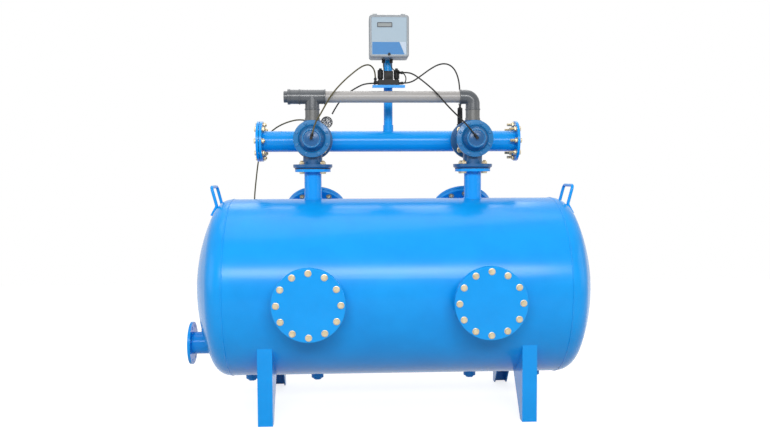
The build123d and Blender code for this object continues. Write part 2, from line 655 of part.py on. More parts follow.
def valve_body():
    """The casting: three flanged or threaded ports and two seats."""
    front = -BODY_FRONT
    skin = valve_bulb(0, front, VALVE_BACK)
    skin += turned((0, front), (BONNET_RADIUS, front), (BONNET_RADIUS, front + BODY_FRONT_THICKNESS),
                   (0, front + BODY_FRONT_THICKNESS))
    skin += turned((0, VALVE_BACK - VALVE_FLANGE_THICKNESS),
                   (VALVE_FLANGE_RADIUS, VALVE_BACK - VALVE_FLANGE_THICKNESS),
                   (VALVE_FLANGE_RADIUS, VALVE_BACK), (0, VALVE_BACK))
    skin += rod(LOWER_NECK_RADIUS, (0, 0, -VALVE_DROP), (0, 0, 0))
    foot = rod(VALVE_FLANGE_RADIUS, (0, 0, -VALVE_DROP), (0, 0, VALVE_FLANGE_THICKNESS - VALVE_DROP))
    skin += chamfer(foot.edges().sort_by(Axis.Z)[0], FOOT_CHAMFER)
    skin += rod(UPPER_NECK_RADIUS, (0, 0, 0), (0, 0, VALVE_RISE))
    skin += rod(UPPER_NECK_RADIUS + UPPER_RIM_STAND, (0, 0, VALVE_RISE - UPPER_RIM_LENGTH),
                (0, 0, VALVE_RISE))

    hollow = valve_bulb(BODY_WALL, front, SEAT_BACK)
    hollow += rod(LOWER_BORE_RADIUS, (0, SEAT_BACK, 0), (0, VALVE_BACK, 0))
    hollow += rod(LOWER_BORE_RADIUS, (0, 0, -VALVE_DROP), (0, 0, 0))
    hollow += rod(UPPER_BORE_RADIUS, (0, 0, 0), (0, 0, VALVE_RISE))

    half, shelf, wide = SEAT_WEB / 2, DISC_RADIUS + WEB_CLEARANCE, 2 * BODY_RADIUS
    rise = shelf + SEAT_WEB * WEB_RISE
    past_upper, past_lower = UPPER_BORE_RADIUS + WEB_STEP, LOWER_BORE_RADIUS + WEB_STEP
    web = block((-wide, wide), (-half, half), (-rise, rise))
    web += block((-wide, wide), (0, past_upper + half), (shelf, rise))
    web += block((-wide, wide), (past_upper, past_upper + half), (shelf, wide))
    web += block((-wide, wide), (-past_lower - half, 0), (-rise, -shelf))
    web += block((-wide, wide), (-past_lower - half, -past_lower), (-wide, -shelf))
    web = (web & valve_bulb(BODY_WALL / 2, front, SEAT_BACK))
    seats = rod(SEAT_BORE_RADIUS, (0, -half - OVERCUT, 0), (0, half + OVERCUT, 0))
    outer = LOWER_BORE_RADIUS + SEAT_RING_STAND
    seat_ring = pipe(outer, outer - SEAT_BORE_RADIUS, (0, SEAT_BACK, 0),
                     (0, SEAT_BACK + SEAT_WEB, 0))
    body = (skin - hollow) + (web - seats) + seat_ring

    lower = Plane((0, 0, -VALVE_DROP))
    rear = Plane((0, VALVE_BACK, 0), x_dir=(1, 0, 0), z_dir=(0, -1, 0))
    for plane in (lower, rear):
        body = drill(body, plane, RISER_BOLT_CIRCLE, RISER_BOLT_COUNT, BOLT_HOLE_RADIUS,
                     VALVE_FLANGE_THICKNESS, RISER_BOLT_TURN)
    return drill(body, FRONT_PLANE.offset(BODY_FRONT - BODY_FRONT_THICKNESS), BONNET_BOLT_CIRCLE,
                 BONNET_BOLT_COUNT, SCREW_RADIUS + SEAT, BODY_FRONT_THICKNESS, BONNET_TURN)


FRONT_PLANE = Plane((0, 0, 0), x_dir=(1, 0, 0), z_dir=(0, -1, 0))
BONNET_TURN = 360 / BONNET_BOLT_COUNT / 2
BONNET_BACK = -BODY_FRONT - DIAPHRAGM_THICKNESS
BONNET_TIP = BONNET_BACK - BONNET_HEIGHT
BONNET_RIM = BONNET_BACK - BONNET_RING
SPRING_FRONT = BONNET_TIP + BONNET_WALL + NOSE_STEP


def valve_bonnet():
    """The bonnet: bolted ring, cone and nose with the control tapping."""
    wall = BONNET_WALL
    skin = turned((0, BONNET_BACK), (BONNET_RADIUS, BONNET_BACK), (BONNET_RADIUS, BONNET_RIM + BONNET_EDGE),
                  (BONNET_RADIUS - BONNET_EDGE, BONNET_RIM), (BONNET_SHOULDER, BONNET_RIM),
                  (BONNET_NOSE + NOSE_FOOT, BONNET_TIP + NOSE_STEP), (BONNET_NOSE, BONNET_TIP),
                  (BONNET_NOSE - NOSE_RIM, BONNET_TIP),
                  (BONNET_NOSE - DISH_EDGE, BONNET_TIP + NOSE_STEP),
                  (BOSS_FOOT, BONNET_TIP + BOSS_STAND), (BOSS_RADIUS, BONNET_TIP - BOSS_STAND),
                  (0, BONNET_TIP - BOSS_STAND))
    skin -= turned((0, BONNET_BACK), (BONNET_SHOULDER - wall, BONNET_BACK),
                   (BONNET_SHOULDER - wall - BONNET_EDGE, BONNET_RIM),
                   (BONNET_NOSE - wall, SPRING_FRONT), (0, SPRING_FRONT))
    skin -= rod(SCREW_RADIUS, (0, BONNET_TIP - BOSS_STAND - OVERCUT, 0),
                (0, SPRING_FRONT + OVERCUT, 0))
    return drill(skin, FRONT_PLANE.offset(-BONNET_BACK), BONNET_BOLT_CIRCLE, BONNET_BOLT_COUNT,
                 SCREW_RADIUS + SEAT, BONNET_RING, BONNET_TURN)


def bonnet_bolts():
    """Eight hexagon screws through the bonnet's ring, with nuts behind the body's flange."""
    across = SCREW_FLATS / math.sqrt(3)
    pieces = []
    depth = BONNET_RING + DIAPHRAGM_THICKNESS + BODY_FRONT_THICKNESS
    for place in bolt_places(FRONT_PLANE.offset(-BONNET_RIM), BONNET_BOLT_CIRCLE,
                             BONNET_BOLT_COUNT, BONNET_TURN):
        head = extrude(place * RegularPolygon(across, HEXAGON), amount=SCREW_HEAD)
        shank = extrude(place * RegularPolygon(SCREW_RADIUS, SHANK_SIDES), amount=-depth)
        pieces.append(head + shank)
    return pieces


def valve_diaphragm():
    """The moulded rubber diaphragm, its rim clamped and its middle set back."""
    middle = -BODY_FRONT + DIAPHRAGM_DROP
    thick = DIAPHRAGM_THICKNESS
    edge = BONNET_SHOULDER - BONNET_WALL - OVERCUT
    hub = STEM_RADIUS + SEAT
    sheet = turned((hub, middle - thick), (WASHER_RADIUS + DIAPHRAGM_BEND, middle - thick),
                   (edge - DIAPHRAGM_SLOPE, BONNET_BACK),
                   (BONNET_RADIUS, BONNET_BACK), (BONNET_RADIUS, -BODY_FRONT), (edge, -BODY_FRONT),
                   (WASHER_RADIUS + DIAPHRAGM_BEND_REAR, middle), (hub, middle))
    return drill(sheet, FRONT_PLANE.offset(BODY_FRONT), BONNET_BOLT_CIRCLE, BONNET_BOLT_COUNT,
                 SCREW_RADIUS + SEAT, DIAPHRAGM_THICKNESS, BONNET_TURN)


WASHER_FRONT = -BODY_FRONT + DIAPHRAGM_DROP - DIAPHRAGM_THICKNESS


def valve_plunger():
    """Stem, the two diaphragm washers and the seal disc, which move together."""
    back = DISC_FRONT + DISC_THICKNESS
    stem = rod(STEM_RADIUS, (0, WASHER_FRONT - WASHER_THICKNESS - STEM_END, 0), (0, DISC_FRONT, 0))
    front = pipe(WASHER_RADIUS, WASHER_RADIUS - STEM_RADIUS, (0, WASHER_FRONT - WASHER_THICKNESS, 0),
                 (0, WASHER_FRONT, 0))
    rear_face = -BODY_FRONT + DIAPHRAGM_DROP
    rear = pipe(WASHER_RADIUS, WASHER_RADIUS - STEM_RADIUS, (0, rear_face, 0),
                (0, rear_face + WASHER_THICKNESS, 0))
    disc = rod(DISC_RADIUS, (0, DISC_FRONT, 0), (0, back, 0))
    return stem + front + rear + disc


def valve_spring():
    """The coil spring between the bonnet's nose and the front washer."""
    start = WASHER_FRONT - WASHER_THICKNESS - SPRING_WIRE
    end = SPRING_FRONT + SPRING_WIRE
    length = start - end
    path = Helix(length / SPRING_TURNS, length, SPRING_RADIUS)
    section = Plane(path @ 0, z_dir=path % 0) * RegularPolygon(SPRING_WIRE, HEXAGON)
    coil = sweep(section, path=path)
    return Pos(0, start, 0) * Rot(90, 0, 0) * coil


def at_valve(x, pieces):
    """Pieces of a valve, moved to their riser."""
    if not isinstance(pieces, list):
        pieces = [pieces]
    return [Pos(x, 0, VALVE_HEIGHT) * piece for piece in pieces]


# Inlet manifold

END_PLANES = (Plane((-MANIFOLD_LEFT, MANIFOLD_BACK, VALVE_HEIGHT), z_dir=(-1, 0, 0), x_dir=(0, 1, 0)),
              Plane((MANIFOLD_RIGHT, MANIFOLD_BACK, VALVE_HEIGHT), z_dir=(1, 0, 0), x_dir=(0, 1, 0)))
BRANCH_FACE = VALVE_BACK + PORT_GASKET_THICKNESS


def branch_plane(x):
    """The face of a branch's flange, normal towards the manifold."""
    return Plane((x, BRANCH_FACE, VALVE_HEIGHT), x_dir=(1, 0, 0), z_dir=(0, 1, 0))


def inlet_manifold():
    """The header pipe, its end flanges and its two flanged branches."""
    start = (-MANIFOLD_LEFT, MANIFOLD_BACK, VALVE_HEIGHT)
    end = (MANIFOLD_RIGHT, MANIFOLD_BACK, VALVE_HEIGHT)
    header = rod(MANIFOLD_RADIUS, start, end)
    bore = rod(MANIFOLD_RADIUS - MANIFOLD_WALL, start, end)
    for plane in END_PLANES:
        header += plate_ring(plane, END_FLANGE_RADIUS, 0, -END_FLANGE_THICKNESS)
    for x in CHAMBERS:
        face = branch_plane(x)
        header += rod(RISER_RADIUS, (x, BRANCH_FACE, VALVE_HEIGHT), (x, MANIFOLD_BACK, VALVE_HEIGHT))
        header += plate_ring(face, RISER_FLANGE_RADIUS, 0, RISER_FLANGE_THICKNESS)
        bore += rod(RISER_RADIUS - RISER_WALL, (x, BRANCH_FACE, VALVE_HEIGHT),
                    (x, MANIFOLD_BACK, VALVE_HEIGHT))
    header -= bore
    for plane in END_PLANES:
        header = drill(header, plane, END_BOLT_CIRCLE, END_BOLT_COUNT, BOLT_HOLE_RADIUS,
                       -END_FLANGE_THICKNESS)
    for x in CHAMBERS:
        header = drill(header, branch_plane(x), RISER_BOLT_CIRCLE, RISER_BOLT_COUNT,
                       BOLT_HOLE_RADIUS, RISER_FLANGE_THICKNESS, RISER_BOLT_TURN)
    return header


def manifold_gaskets():
    """Ring gaskets at the two branches and under the blind flange."""
    pieces = []
    for x in CHAMBERS:
        plane = branch_plane(x).offset(-PORT_GASKET_THICKNESS)
        outer = RISER_BOLT_CIRCLE - BOLT_HOLE_RADIUS - 1
        pieces.append(plate_ring(plane, outer, RISER_RADIUS - RISER_WALL, PORT_GASKET_THICKNESS))
    outer = END_BOLT_CIRCLE - BOLT_HOLE_RADIUS - 1
    pieces.append(plate_ring(END_PLANES[0], outer, MANIFOLD_RADIUS - MANIFOLD_WALL,
                             PORT_GASKET_THICKNESS))
    return pieces


def branch_bolts(x):
    """The bolts between a valve and its branch, heads on the valve's flange."""
    grip = VALVE_FLANGE_THICKNESS + PORT_GASKET_THICKNESS + RISER_FLANGE_THICKNESS
    plane = Plane((x, VALVE_BACK - VALVE_FLANGE_THICKNESS, VALVE_HEIGHT),
                  x_dir=(1, 0, 0), z_dir=(0, -1, 0))
    return [bolt(place, grip) for place in
            bolt_places(plane, RISER_BOLT_CIRCLE, RISER_BOLT_COUNT, RISER_BOLT_TURN)]


def end_blind_flange():
    """The plate that closes the manifold's left end."""
    plane = END_PLANES[0].offset(PORT_GASKET_THICKNESS)
    disc = plate_ring(plane, END_FLANGE_RADIUS, 0, END_FLANGE_THICKNESS)
    return drill(disc, plane, END_BOLT_CIRCLE, END_BOLT_COUNT, BOLT_HOLE_RADIUS,
                 END_FLANGE_THICKNESS)


def manifold_end_bolts():
    """Bolts of the blind flange, and the loose ones left in the open inlet flange."""
    closed = END_PLANES[0].offset(PORT_GASKET_THICKNESS + END_FLANGE_THICKNESS)
    grip = 2 * END_FLANGE_THICKNESS + PORT_GASKET_THICKNESS
    pieces = [bolt(place, grip) for place in bolt_places(closed, END_BOLT_CIRCLE, END_BOLT_COUNT)]
    pieces += [bolt(place, END_FLANGE_THICKNESS, INLET_BOLT_TAIL) for place in
               bolt_places(END_PLANES[1], END_BOLT_CIRCLE, END_BOLT_COUNT)]
    return joined(pieces)


# Backwash line

LEFT, RIGHT = CHAMBERS
SHOULDER = SOCKET_LENGTH - SOCKET_DEPTH
LINE_START = LEFT + SHOULDER
LINE_END = RIGHT - SHOULDER
ADAPTOR_FOOT = VALVE_HEIGHT + VALVE_RISE
ADAPTOR_HEIGHT = LINE_HEIGHT - SOCKET_LENGTH


def socket(mouth, inwards):
    """The room for a pipe or spigot in a fitting's mouth."""
    end = Vector(mouth) + Vector(inwards) * SOCKET_DEPTH
    return rod(PIPE_RADIUS + FIT, mouth, end)


def backwash_tee():
    """The moulded tee over the left valve."""
    bore = PIPE_RADIUS - PIPE_WALL
    left, right = (LEFT - SOCKET_LENGTH, 0, LINE_HEIGHT), (LEFT + SOCKET_LENGTH, 0, LINE_HEIGHT)
    foot, middle = (LEFT, 0, ADAPTOR_HEIGHT), (LEFT, 0, LINE_HEIGHT)
    tee = rod(SOCKET_RADIUS, left, right) + rod(SOCKET_RADIUS, foot, middle)
    tee -= rod(bore, left, right) + rod(bore, foot, middle)
    return tee - socket(left, (1, 0, 0)) - socket(right, (-1, 0, 0)) - socket(foot, (0, 0, 1))


def backwash_elbow():
    """The moulded elbow over the right valve: two sockets joined by a tight bend."""
    bore = PIPE_RADIUS - PIPE_WALL
    mouth, foot = (RIGHT - SOCKET_LENGTH, 0, LINE_HEIGHT), (RIGHT, 0, ADAPTOR_HEIGHT)
    corner = (RIGHT, 0, LINE_HEIGHT)
    path = FilletPolyline(mouth, corner, foot, radius=SOCKET_RADIUS + 1)
    start = Plane(mouth, z_dir=(1, 0, 0))
    elbow = sweep(start * Circle(SOCKET_RADIUS), path=path)
    elbow -= sweep(start * Circle(bore), path=path)
    return elbow - socket(mouth, (1, 0, 0)) - socket(foot, (0, 0, 1))


def backwash_pipe():
    """The straight pipe between the tee and the elbow."""
    return pipe(PIPE_RADIUS, PIPE_WALL, (LINE_START, 0, LINE_HEIGHT), (LINE_END, 0, LINE_HEIGHT))


def backwash_outlet():
    """The threaded adaptor on the tee's free end: spigot, body, collar and stub."""
    mouth = LEFT - SOCKET_LENGTH
    collar = mouth - COUPLER_LENGTH
    stub = collar - COLLAR_LENGTH
    z = LINE_HEIGHT
    piece = rod(PIPE_RADIUS, (mouth + SOCKET_DEPTH, 0, z), (mouth, 0, z))
    piece += rod(SOCKET_RADIUS, (mouth, 0, z), (collar, 0, z))
    piece += rod(COLLAR_RADIUS, (collar, 0, z), (stub, 0, z))
    piece += rod(PIPE_RADIUS, (stub, 0, z), (stub - STUB_LENGTH, 0, z))
    bore = PIPE_RADIUS - PIPE_WALL
    return piece - rod(bore, (mouth + SOCKET_DEPTH, 0, z), (stub - STUB_LENGTH, 0, z))


def valve_adaptors():
    """The threaded adaptor between each valve's top port and its fitting."""
    pieces = []
    bore = PIPE_RADIUS - PIPE_WALL
    for x in CHAMBERS:
        body = rod(SOCKET_RADIUS + ADAPTOR_STAND, (x, 0, ADAPTOR_FOOT), (x, 0, ADAPTOR_FOOT + COLLAR_LENGTH))
        body += rod(SOCKET_RADIUS, (x, 0, ADAPTOR_FOOT), (x, 0, ADAPTOR_HEIGHT))
        body += rod(PIPE_RADIUS, (x, 0, ADAPTOR_HEIGHT), (x, 0, ADAPTOR_HEIGHT + SOCKET_DEPTH))
        body += rod(UPPER_BORE_RADIUS - FIT, (x, 0, ADAPTOR_FOOT - ADAPTOR_THREAD), (x, 0, ADAPTOR_FOOT))
        body -= rod(bore, (x, 0, ADAPTOR_FOOT - ADAPTOR_CUT), (x, 0, LINE_HEIGHT))
        pieces.append(body)
    return joined(pieces)


# Outlet, legs, handles, drains

OUTLET_PLANE = Plane((-OUTLET_FACE, 0, -OUTLET_DROP), x_dir=(0, 1, 0), z_dir=(1, 0, 0))


def outlet_pipe():
    """The outlet: pipe on the left head, drilled flange, and a gauge nipple on top."""
    z = -OUTLET_DROP
    inside = (-HALF_SHELL, 0, z)
    face = (-OUTLET_FACE, 0, z)
    tube = rod(MANIFOLD_RADIUS, face, inside)
    tube += plate_ring(OUTLET_PLANE, END_FLANGE_RADIUS, 0, END_FLANGE_THICKNESS)
    x = NIPPLE_PLACE - OUTLET_FACE
    top = z + MANIFOLD_RADIUS + NIPPLE_HEIGHT
    tube += rod(NIPPLE_RADIUS, (x, 0, z), (x, 0, top))
    tube -= rod(MANIFOLD_RADIUS - MANIFOLD_WALL, face, inside)
    tube -= rod(NIPPLE_RADIUS * NIPPLE_BORE_SHARE, (x, 0, z), (x, 0, top))
    tube = drill(tube, OUTLET_PLANE, END_BOLT_CIRCLE, END_BOLT_COUNT, BOLT_HOLE_RADIUS,
                 END_FLANGE_THICKNESS, 360 / END_BOLT_COUNT / 2)
    return tube - TANK_SOLID


def leg(side_x, side_y):
    """A leg folded from one plate: a front face and two tapered webs."""
    foot, top = -AXIS_HEIGHT, -TANK_RADIUS / 3
    outline = Polyline((LEG_FRONT, foot), (LEG_FRONT, top), (LEG_FRONT - LEG_TOP_DEPTH, top),
                       (LEG_FRONT - LEG_TOP_DEPTH, -TANK_RADIUS * LEG_TOP_SHARE),
                       (LEG_FRONT - LEG_FOOT_DEPTH, foot + LEG_TOE),
                       (LEG_FRONT - LEG_FOOT_DEPTH + LEG_TOE, foot),
                       close=True)
    half = LEG_WIDTH / 2
    web = Pos(-half, 0, 0) * extrude(Plane.YZ * make_face(outline), amount=LEG_PLATE)
    face = block((-half, half), (LEG_FRONT - LEG_PLATE, LEG_FRONT), (foot, top))
    channel = web + mirror(web, Plane.YZ) + face
    if side_y < 0:
        channel = mirror(channel, Plane.XZ)
    return Pos(side_x * LEG_PLACE, 0, 0) * channel - TANK_BORE


def head_x(radius):
    """How far out the head's surface is, from the shell's end, at a radius in the knuckle."""
    return math.sqrt(KNUCKLE_RADIUS ** 2 - (radius - KNUCKLE_CENTRE) ** 2)


def lifting_handle():
    """The right handle: a bent bar, its feet welded along the head."""
    y = HANDLE_REACH
    out = HANDLE_RADIUS - HANDLE_BITE
    foot_x = HALF_SHELL + head_x(math.hypot(y, HANDLE_FOOT)) + out
    bend_x = HALF_SHELL + head_x(math.hypot(y, HANDLE_BEND)) + out
    top_x = bend_x + HANDLE_LEAN
    points = [(foot_x, -y, HANDLE_FOOT), (bend_x, -y, HANDLE_BEND), (top_x, -y, HANDLE_TOP),
              (top_x, y, HANDLE_TOP), (bend_x, y, HANDLE_BEND), (foot_x, y, HANDLE_FOOT)]
    path = FilletPolyline(*points, radius=HANDLE_BEND_RATIO * HANDLE_RADIUS)
    bar = sweep(Plane(path @ 0, z_dir=path % 0) * Circle(HANDLE_RADIUS), path=path)
    return bar - TANK_SOLID


def drain_fittings():
    """A welded coupling and a hexagon plug at each drain."""
    pieces = []
    across = PLUG_FLATS / math.sqrt(3)
    low = -TANK_RADIUS - DRAIN_LENGTH
    for x in DRAIN_PLACES:
        ring = pipe(DRAIN_RADIUS, DRAIN_RADIUS - DRAIN_BORE, (x, 0, low), (x, 0, -TANK_RADIUS / 2))
        pieces.append(ring - TANK_BORE)
        plug = rod(DRAIN_BORE - SEAT, (x, 0, low), (x, 0, low + DRAIN_LENGTH * PLUG_DEPTH_SHARE))
        plug += extrude(Plane((x, 0, low), z_dir=(0, 0, -1)) * RegularPolygon(across, HEXAGON),
                        amount=PLUG_HEAD)
        pieces.append(plug)
    return joined(pieces)


# Post and controller

POST_FOOT = VALVE_HEIGHT + MANIFOLD_RADIUS
HEADER_SOLID = rod(MANIFOLD_RADIUS, (-MANIFOLD_LEFT, MANIFOLD_BACK, VALVE_HEIGHT),
                   (MANIFOLD_RIGHT, MANIFOLD_BACK, VALVE_HEIGHT))


def controller_post():
    """The post on the manifold, with its collar, pilot shelf and mounting plate."""
    x, y = POST_PLACE, MANIFOLD_BACK
    post = rod(POST_RADIUS, (x, y, VALVE_HEIGHT), (x, y, POST_TOP))
    post += rod(POST_COLLAR_RADIUS, (x, y, VALVE_HEIGHT), (x, y, POST_FOOT + POST_COLLAR_HEIGHT))
    half = SHELF_WIDTH / 2
    front = MANIFOLD_BACK - SHELF_DEPTH
    post += block((x - half, x + half), (front, y + SHELF_BACK), (SHELF_HEIGHT, BLOCK_BASE))
    post += block((x - half, x + half), (front, front + SHELF_THICKNESS),
                  (SHELF_HEIGHT - SHELF_LIP, BLOCK_BASE))
    low = CASE_BOTTOM + (CASE_HEIGHT - MOUNT_HEIGHT) / 2
    half = MOUNT_WIDTH / 2
    mount = block((x - half, x + half), (CASE_BACK, CASE_BACK + MOUNT_THICKNESS),
                  (low, low + MOUNT_HEIGHT))
    mount += block((x - MOUNT_BRACKET_HALF * POST_RADIUS, x + MOUNT_BRACKET_HALF * POST_RADIUS),
                   (CASE_BACK, y - MOUNT_BRACKET_BITE * POST_RADIUS),
                   (low, low + MOUNT_HEIGHT))
    post = (post + mount) - rod(POST_RADIUS - POST_WALL, (x, y, 0), (x, y, POST_TOP - POST_WALL))
    return post - HEADER_SOLID


def case_block(inset, front, back):
    """A rounded box of the controller's outline."""
    half = CASE_WIDTH / 2 - inset
    height = CASE_HEIGHT - 2 * inset
    middle = CASE_BOTTOM + CASE_HEIGHT / 2
    plane = Plane((POST_PLACE, back, middle), x_dir=(1, 0, 0), z_dir=(0, -1, 0))
    outline = RectangleRounded(2 * half, height, CASE_CORNER - inset / 2)
    return extrude(plane * outline, amount=back - front)


HINGE_Z = CASE_BOTTOM + CASE_HEIGHT + HINGE_RADIUS
HINGE_Y = CASE_FRONT
KNUCKLES = (-1, 1)


def knuckle(side, low, high):
    """One barrel of the cover's hinge, between two distances from the cover's edge."""
    edge = POST_PLACE + side * (CASE_WIDTH / 2 - HINGE_INSET)
    start, end = edge - side * low, edge - side * high
    return rod(HINGE_RADIUS, (start, HINGE_Y, HINGE_Z), (end, HINGE_Y, HINGE_Z))


def controller_case():
    """The case: a moulded box, its glands, and the fixed barrels and pins of the hinge."""
    case = case_block(0, CASE_FRONT, CASE_BACK) - case_block(CASE_WALL, CASE_FRONT - 1,
                                                              CASE_BACK - CASE_WALL)
    top = CASE_BOTTOM + CASE_HEIGHT
    for side in KNUCKLES:
        edge = POST_PLACE + side * (CASE_WIDTH / 2 - HINGE_INSET)
        inner = edge - side * HINGE_LENGTH
        case += knuckle(side, 0, HINGE_LENGTH)
        case += block(sorted((edge, inner)), (HINGE_Y, HINGE_Y + HINGE_LEAF), (top - CASE_WALL, HINGE_Z))
        far = edge - side * (2 * HINGE_LENGTH + OVERCUT)
        case += rod(HINGE_PIN_RADIUS, (edge, HINGE_Y, HINGE_Z), (far, HINGE_Y, HINGE_Z))
    return case


def cable_glands():
    """Where the two glands' middles are, along X."""
    return [POST_PLACE + place for place in GLAND_PLACES]


def controller_glands():
    """Two cable glands in the case's underside."""
    pieces = []
    y = CASE_BACK - GLAND_DEPTH
    for x in cable_glands():
        body = rod(GLAND_RADIUS, (x, y, CASE_BOTTOM), (x, y, CASE_BOTTOM - GLAND_LENGTH))
        pieces.append(body)
    return joined(pieces)


def controller_cover():
    """The hinged front: a shallow tray with its barrels, window and latch."""
    front = CASE_FRONT - COVER_DEPTH
    cover = case_block(0, front, CASE_FRONT - DISC_GAP)
    cover = fillet(cover.faces().sort_by(Axis.Y)[0].edges(), COVER_EDGE)
    cover -= case_block(COVER_LIP, front + CASE_WALL, CASE_FRONT)
    for side in KNUCKLES:
        edge = POST_PLACE + side * (CASE_WIDTH / 2 - HINGE_INSET)
        low, high = HINGE_LENGTH + HINGE_GAP, 2 * HINGE_LENGTH
        start, end = edge - side * low, edge - side * high
        barrel = knuckle(side, low, high)
        barrel += block(sorted((start, end)), (HINGE_Y - HINGE_LEAF, HINGE_Y - HINGE_GAP),
                        (HINGE_Z - 2 * HINGE_RADIUS - HINGE_LEAF_DROP, HINGE_Z))
        cover += barrel
    for side in KNUCKLES:
        edge = POST_PLACE + side * (CASE_WIDTH / 2 - HINGE_INSET)
        far = edge - side * (2 * HINGE_LENGTH + 2 * OVERCUT)
        cover -= rod(HINGE_PIN_RADIUS + HINGE_PIN_GAP, (edge, HINGE_Y, HINGE_Z), (far, HINGE_Y, HINGE_Z))
    z = CASE_BOTTOM + LATCH_RISE
    return cover - rod(LATCH_STEM + HINGE_PIN_GAP, (POST_PLACE, front - OVERCUT, z),
                       (POST_PLACE, CASE_FRONT, z))


def controller_board():
    """The circuit board on four pillars at the back of the case."""
    half = CASE_WIDTH / 2 - CASE_GAPS * CASE_WALL
    low, high = CASE_BOTTOM + BOARD_LOW, CASE_BOTTOM + CASE_HEIGHT - CASE_GAPS * CASE_WALL
    back = CASE_BACK - CASE_WALL
    board = block((POST_PLACE - half, POST_PLACE + half), (back - BOARD_STAND - BOARD_THICKNESS,
                  back - BOARD_STAND), (low, high))
    for x in (POST_PLACE - half + BOARD_STAND, POST_PLACE + half - BOARD_STAND):
        for z in (low + BOARD_STAND, high - BOARD_STAND):
            board += rod(SCREW_RADIUS, (x, back - BOARD_STAND, z), (x, back, z))
    return board


def cover_latch():
    """The turn latch at the bottom of the cover, on its own short stem."""
    y = CASE_FRONT - COVER_DEPTH
    z = CASE_BOTTOM + LATCH_RISE
    knob = rod(LATCH_RADIUS, (POST_PLACE, y - DISC_GAP, z), (POST_PLACE, y - DISC_GAP - LATCH_HEIGHT, z))
    wing = block((POST_PLACE - LATCH_WING_HALF * LATCH_RADIUS, POST_PLACE + LATCH_WING_HALF * LATCH_RADIUS),
                 (y - HINGE_GAP - 2 * LATCH_HEIGHT, y - HINGE_GAP - LATCH_HEIGHT),
                 (z - LATCH_WING_REACH * LATCH_RADIUS, z + LATCH_WING_REACH * LATCH_RADIUS))
    stem = rod(LATCH_STEM, (POST_PLACE, y - DISC_GAP, z), (POST_PLACE, CASE_FRONT + LATCH_REACH, z))
    tongue = block((POST_PLACE - LATCH_STEM, POST_PLACE + LATCH_STEM),
                   (CASE_FRONT + LATCH_REACH - CASE_WALL, CASE_FRONT + LATCH_REACH),
                   (z - LATCH_RISE + CASE_WALL + 1, z + LATCH_STEM))
    return knob + wing + stem + tongue


# Pilots

PILOT_Y = BLOCK_BACK - BLOCK_DEPTH / 2
BLOCK_TOP = BLOCK_BASE + BLOCK_HEIGHT
PILOTS = (POST_PLACE - PILOT_SPACING / 2, POST_PLACE + PILOT_SPACING / 2)


def pilot_block():
    """The base block on the shelf, and the terminal housing between the pilots."""
    half = BLOCK_WIDTH / 2
    base = block((POST_PLACE - half, POST_PLACE + half), (BLOCK_BACK - BLOCK_DEPTH, BLOCK_BACK),
                 (BLOCK_BASE, BLOCK_TOP))
    base = fillet(base.edges().filter_by(Axis.Z), BLOCK_EDGE)
    half = HOUSING_WIDTH / 2
    inset = HOUSING_INSET
    tower = block((POST_PLACE - half, POST_PLACE + half),
                  (BLOCK_BACK - BLOCK_DEPTH + inset, BLOCK_BACK - inset),
                  (BLOCK_TOP, HOUSING_TOP))
    tower = fillet(tower.edges().filter_by(Axis.Z) + tower.faces().sort_by(Axis.Z)[-1].edges(), BLOCK_EDGE)
    return base + tower


def solenoid_pilots():
    """Two pilots: a threaded foot, the coil, and the cap with its manual override."""
    pieces = []
    for x in PILOTS:
        foot = rod(PILOT_RADIUS * PILOT_FOOT_SHARE, (x, PILOT_Y, BLOCK_TOP),
                   (x, PILOT_Y, BLOCK_TOP + PILOT_FOOT))
        low = BLOCK_TOP + PILOT_FOOT
        coil = rod(COIL_WIDTH / 2, (x, PILOT_Y, low), (x, PILOT_Y, low + COIL_HEIGHT))
        coil = chamfer(coil.edges().filter_by(GeomType.CIRCLE), COIL_EDGE)
        cap = rod(PILOT_RADIUS * PILOT_CAP_SHARE, (x, PILOT_Y, low),
                  (x, PILOT_Y, low + COIL_HEIGHT + PILOT_CAP))
        pieces.append(foot + coil + cap)
    return joined(pieces)


# Push-in fittings for the control tubes

def fitting(mouth, direction, length=FITTING_LENGTH):
    """A straight push-in fitting: its mouth is where the tube ends."""
    mouth, direction = Vector(mouth), Vector(direction).normalized()
    root = mouth - direction * length
    collar = mouth - direction * length * 0.3
    return rod(FITTING_RADIUS * FITTING_STUD_SHARE, root, collar) + rod(FITTING_RADIUS, collar, mouth)


def elbow_fitting(seat, corner, direction, length=FITTING_LENGTH):
    """A swivel elbow: a stud from its seat to its corner, then a mouth in a direction."""
    corner, direction = Vector(corner), Vector(direction).normalized()
    stud = Vector(corner) - Vector(seat)
    beyond = corner + stud.normalized() * FITTING_RADIUS
    body = rod(FITTING_RADIUS, seat, beyond)
    return body + rod(FITTING_RADIUS * FITTING_ELBOW_SHARE, corner, corner + direction * length)


def bonnet_elbow(side, direction):
    """The seat, corner and mouth of the elbow on a bonnet."""
    x = CHAMBERS[side]
    seat = Vector(x, BONNET_TIP - BOSS_STAND, VALVE_HEIGHT)
    corner = seat - Vector(0, BONNET_ELBOW, 0)
    return seat, corner, corner + Vector(direction).normalized() * FITTING_LENGTH


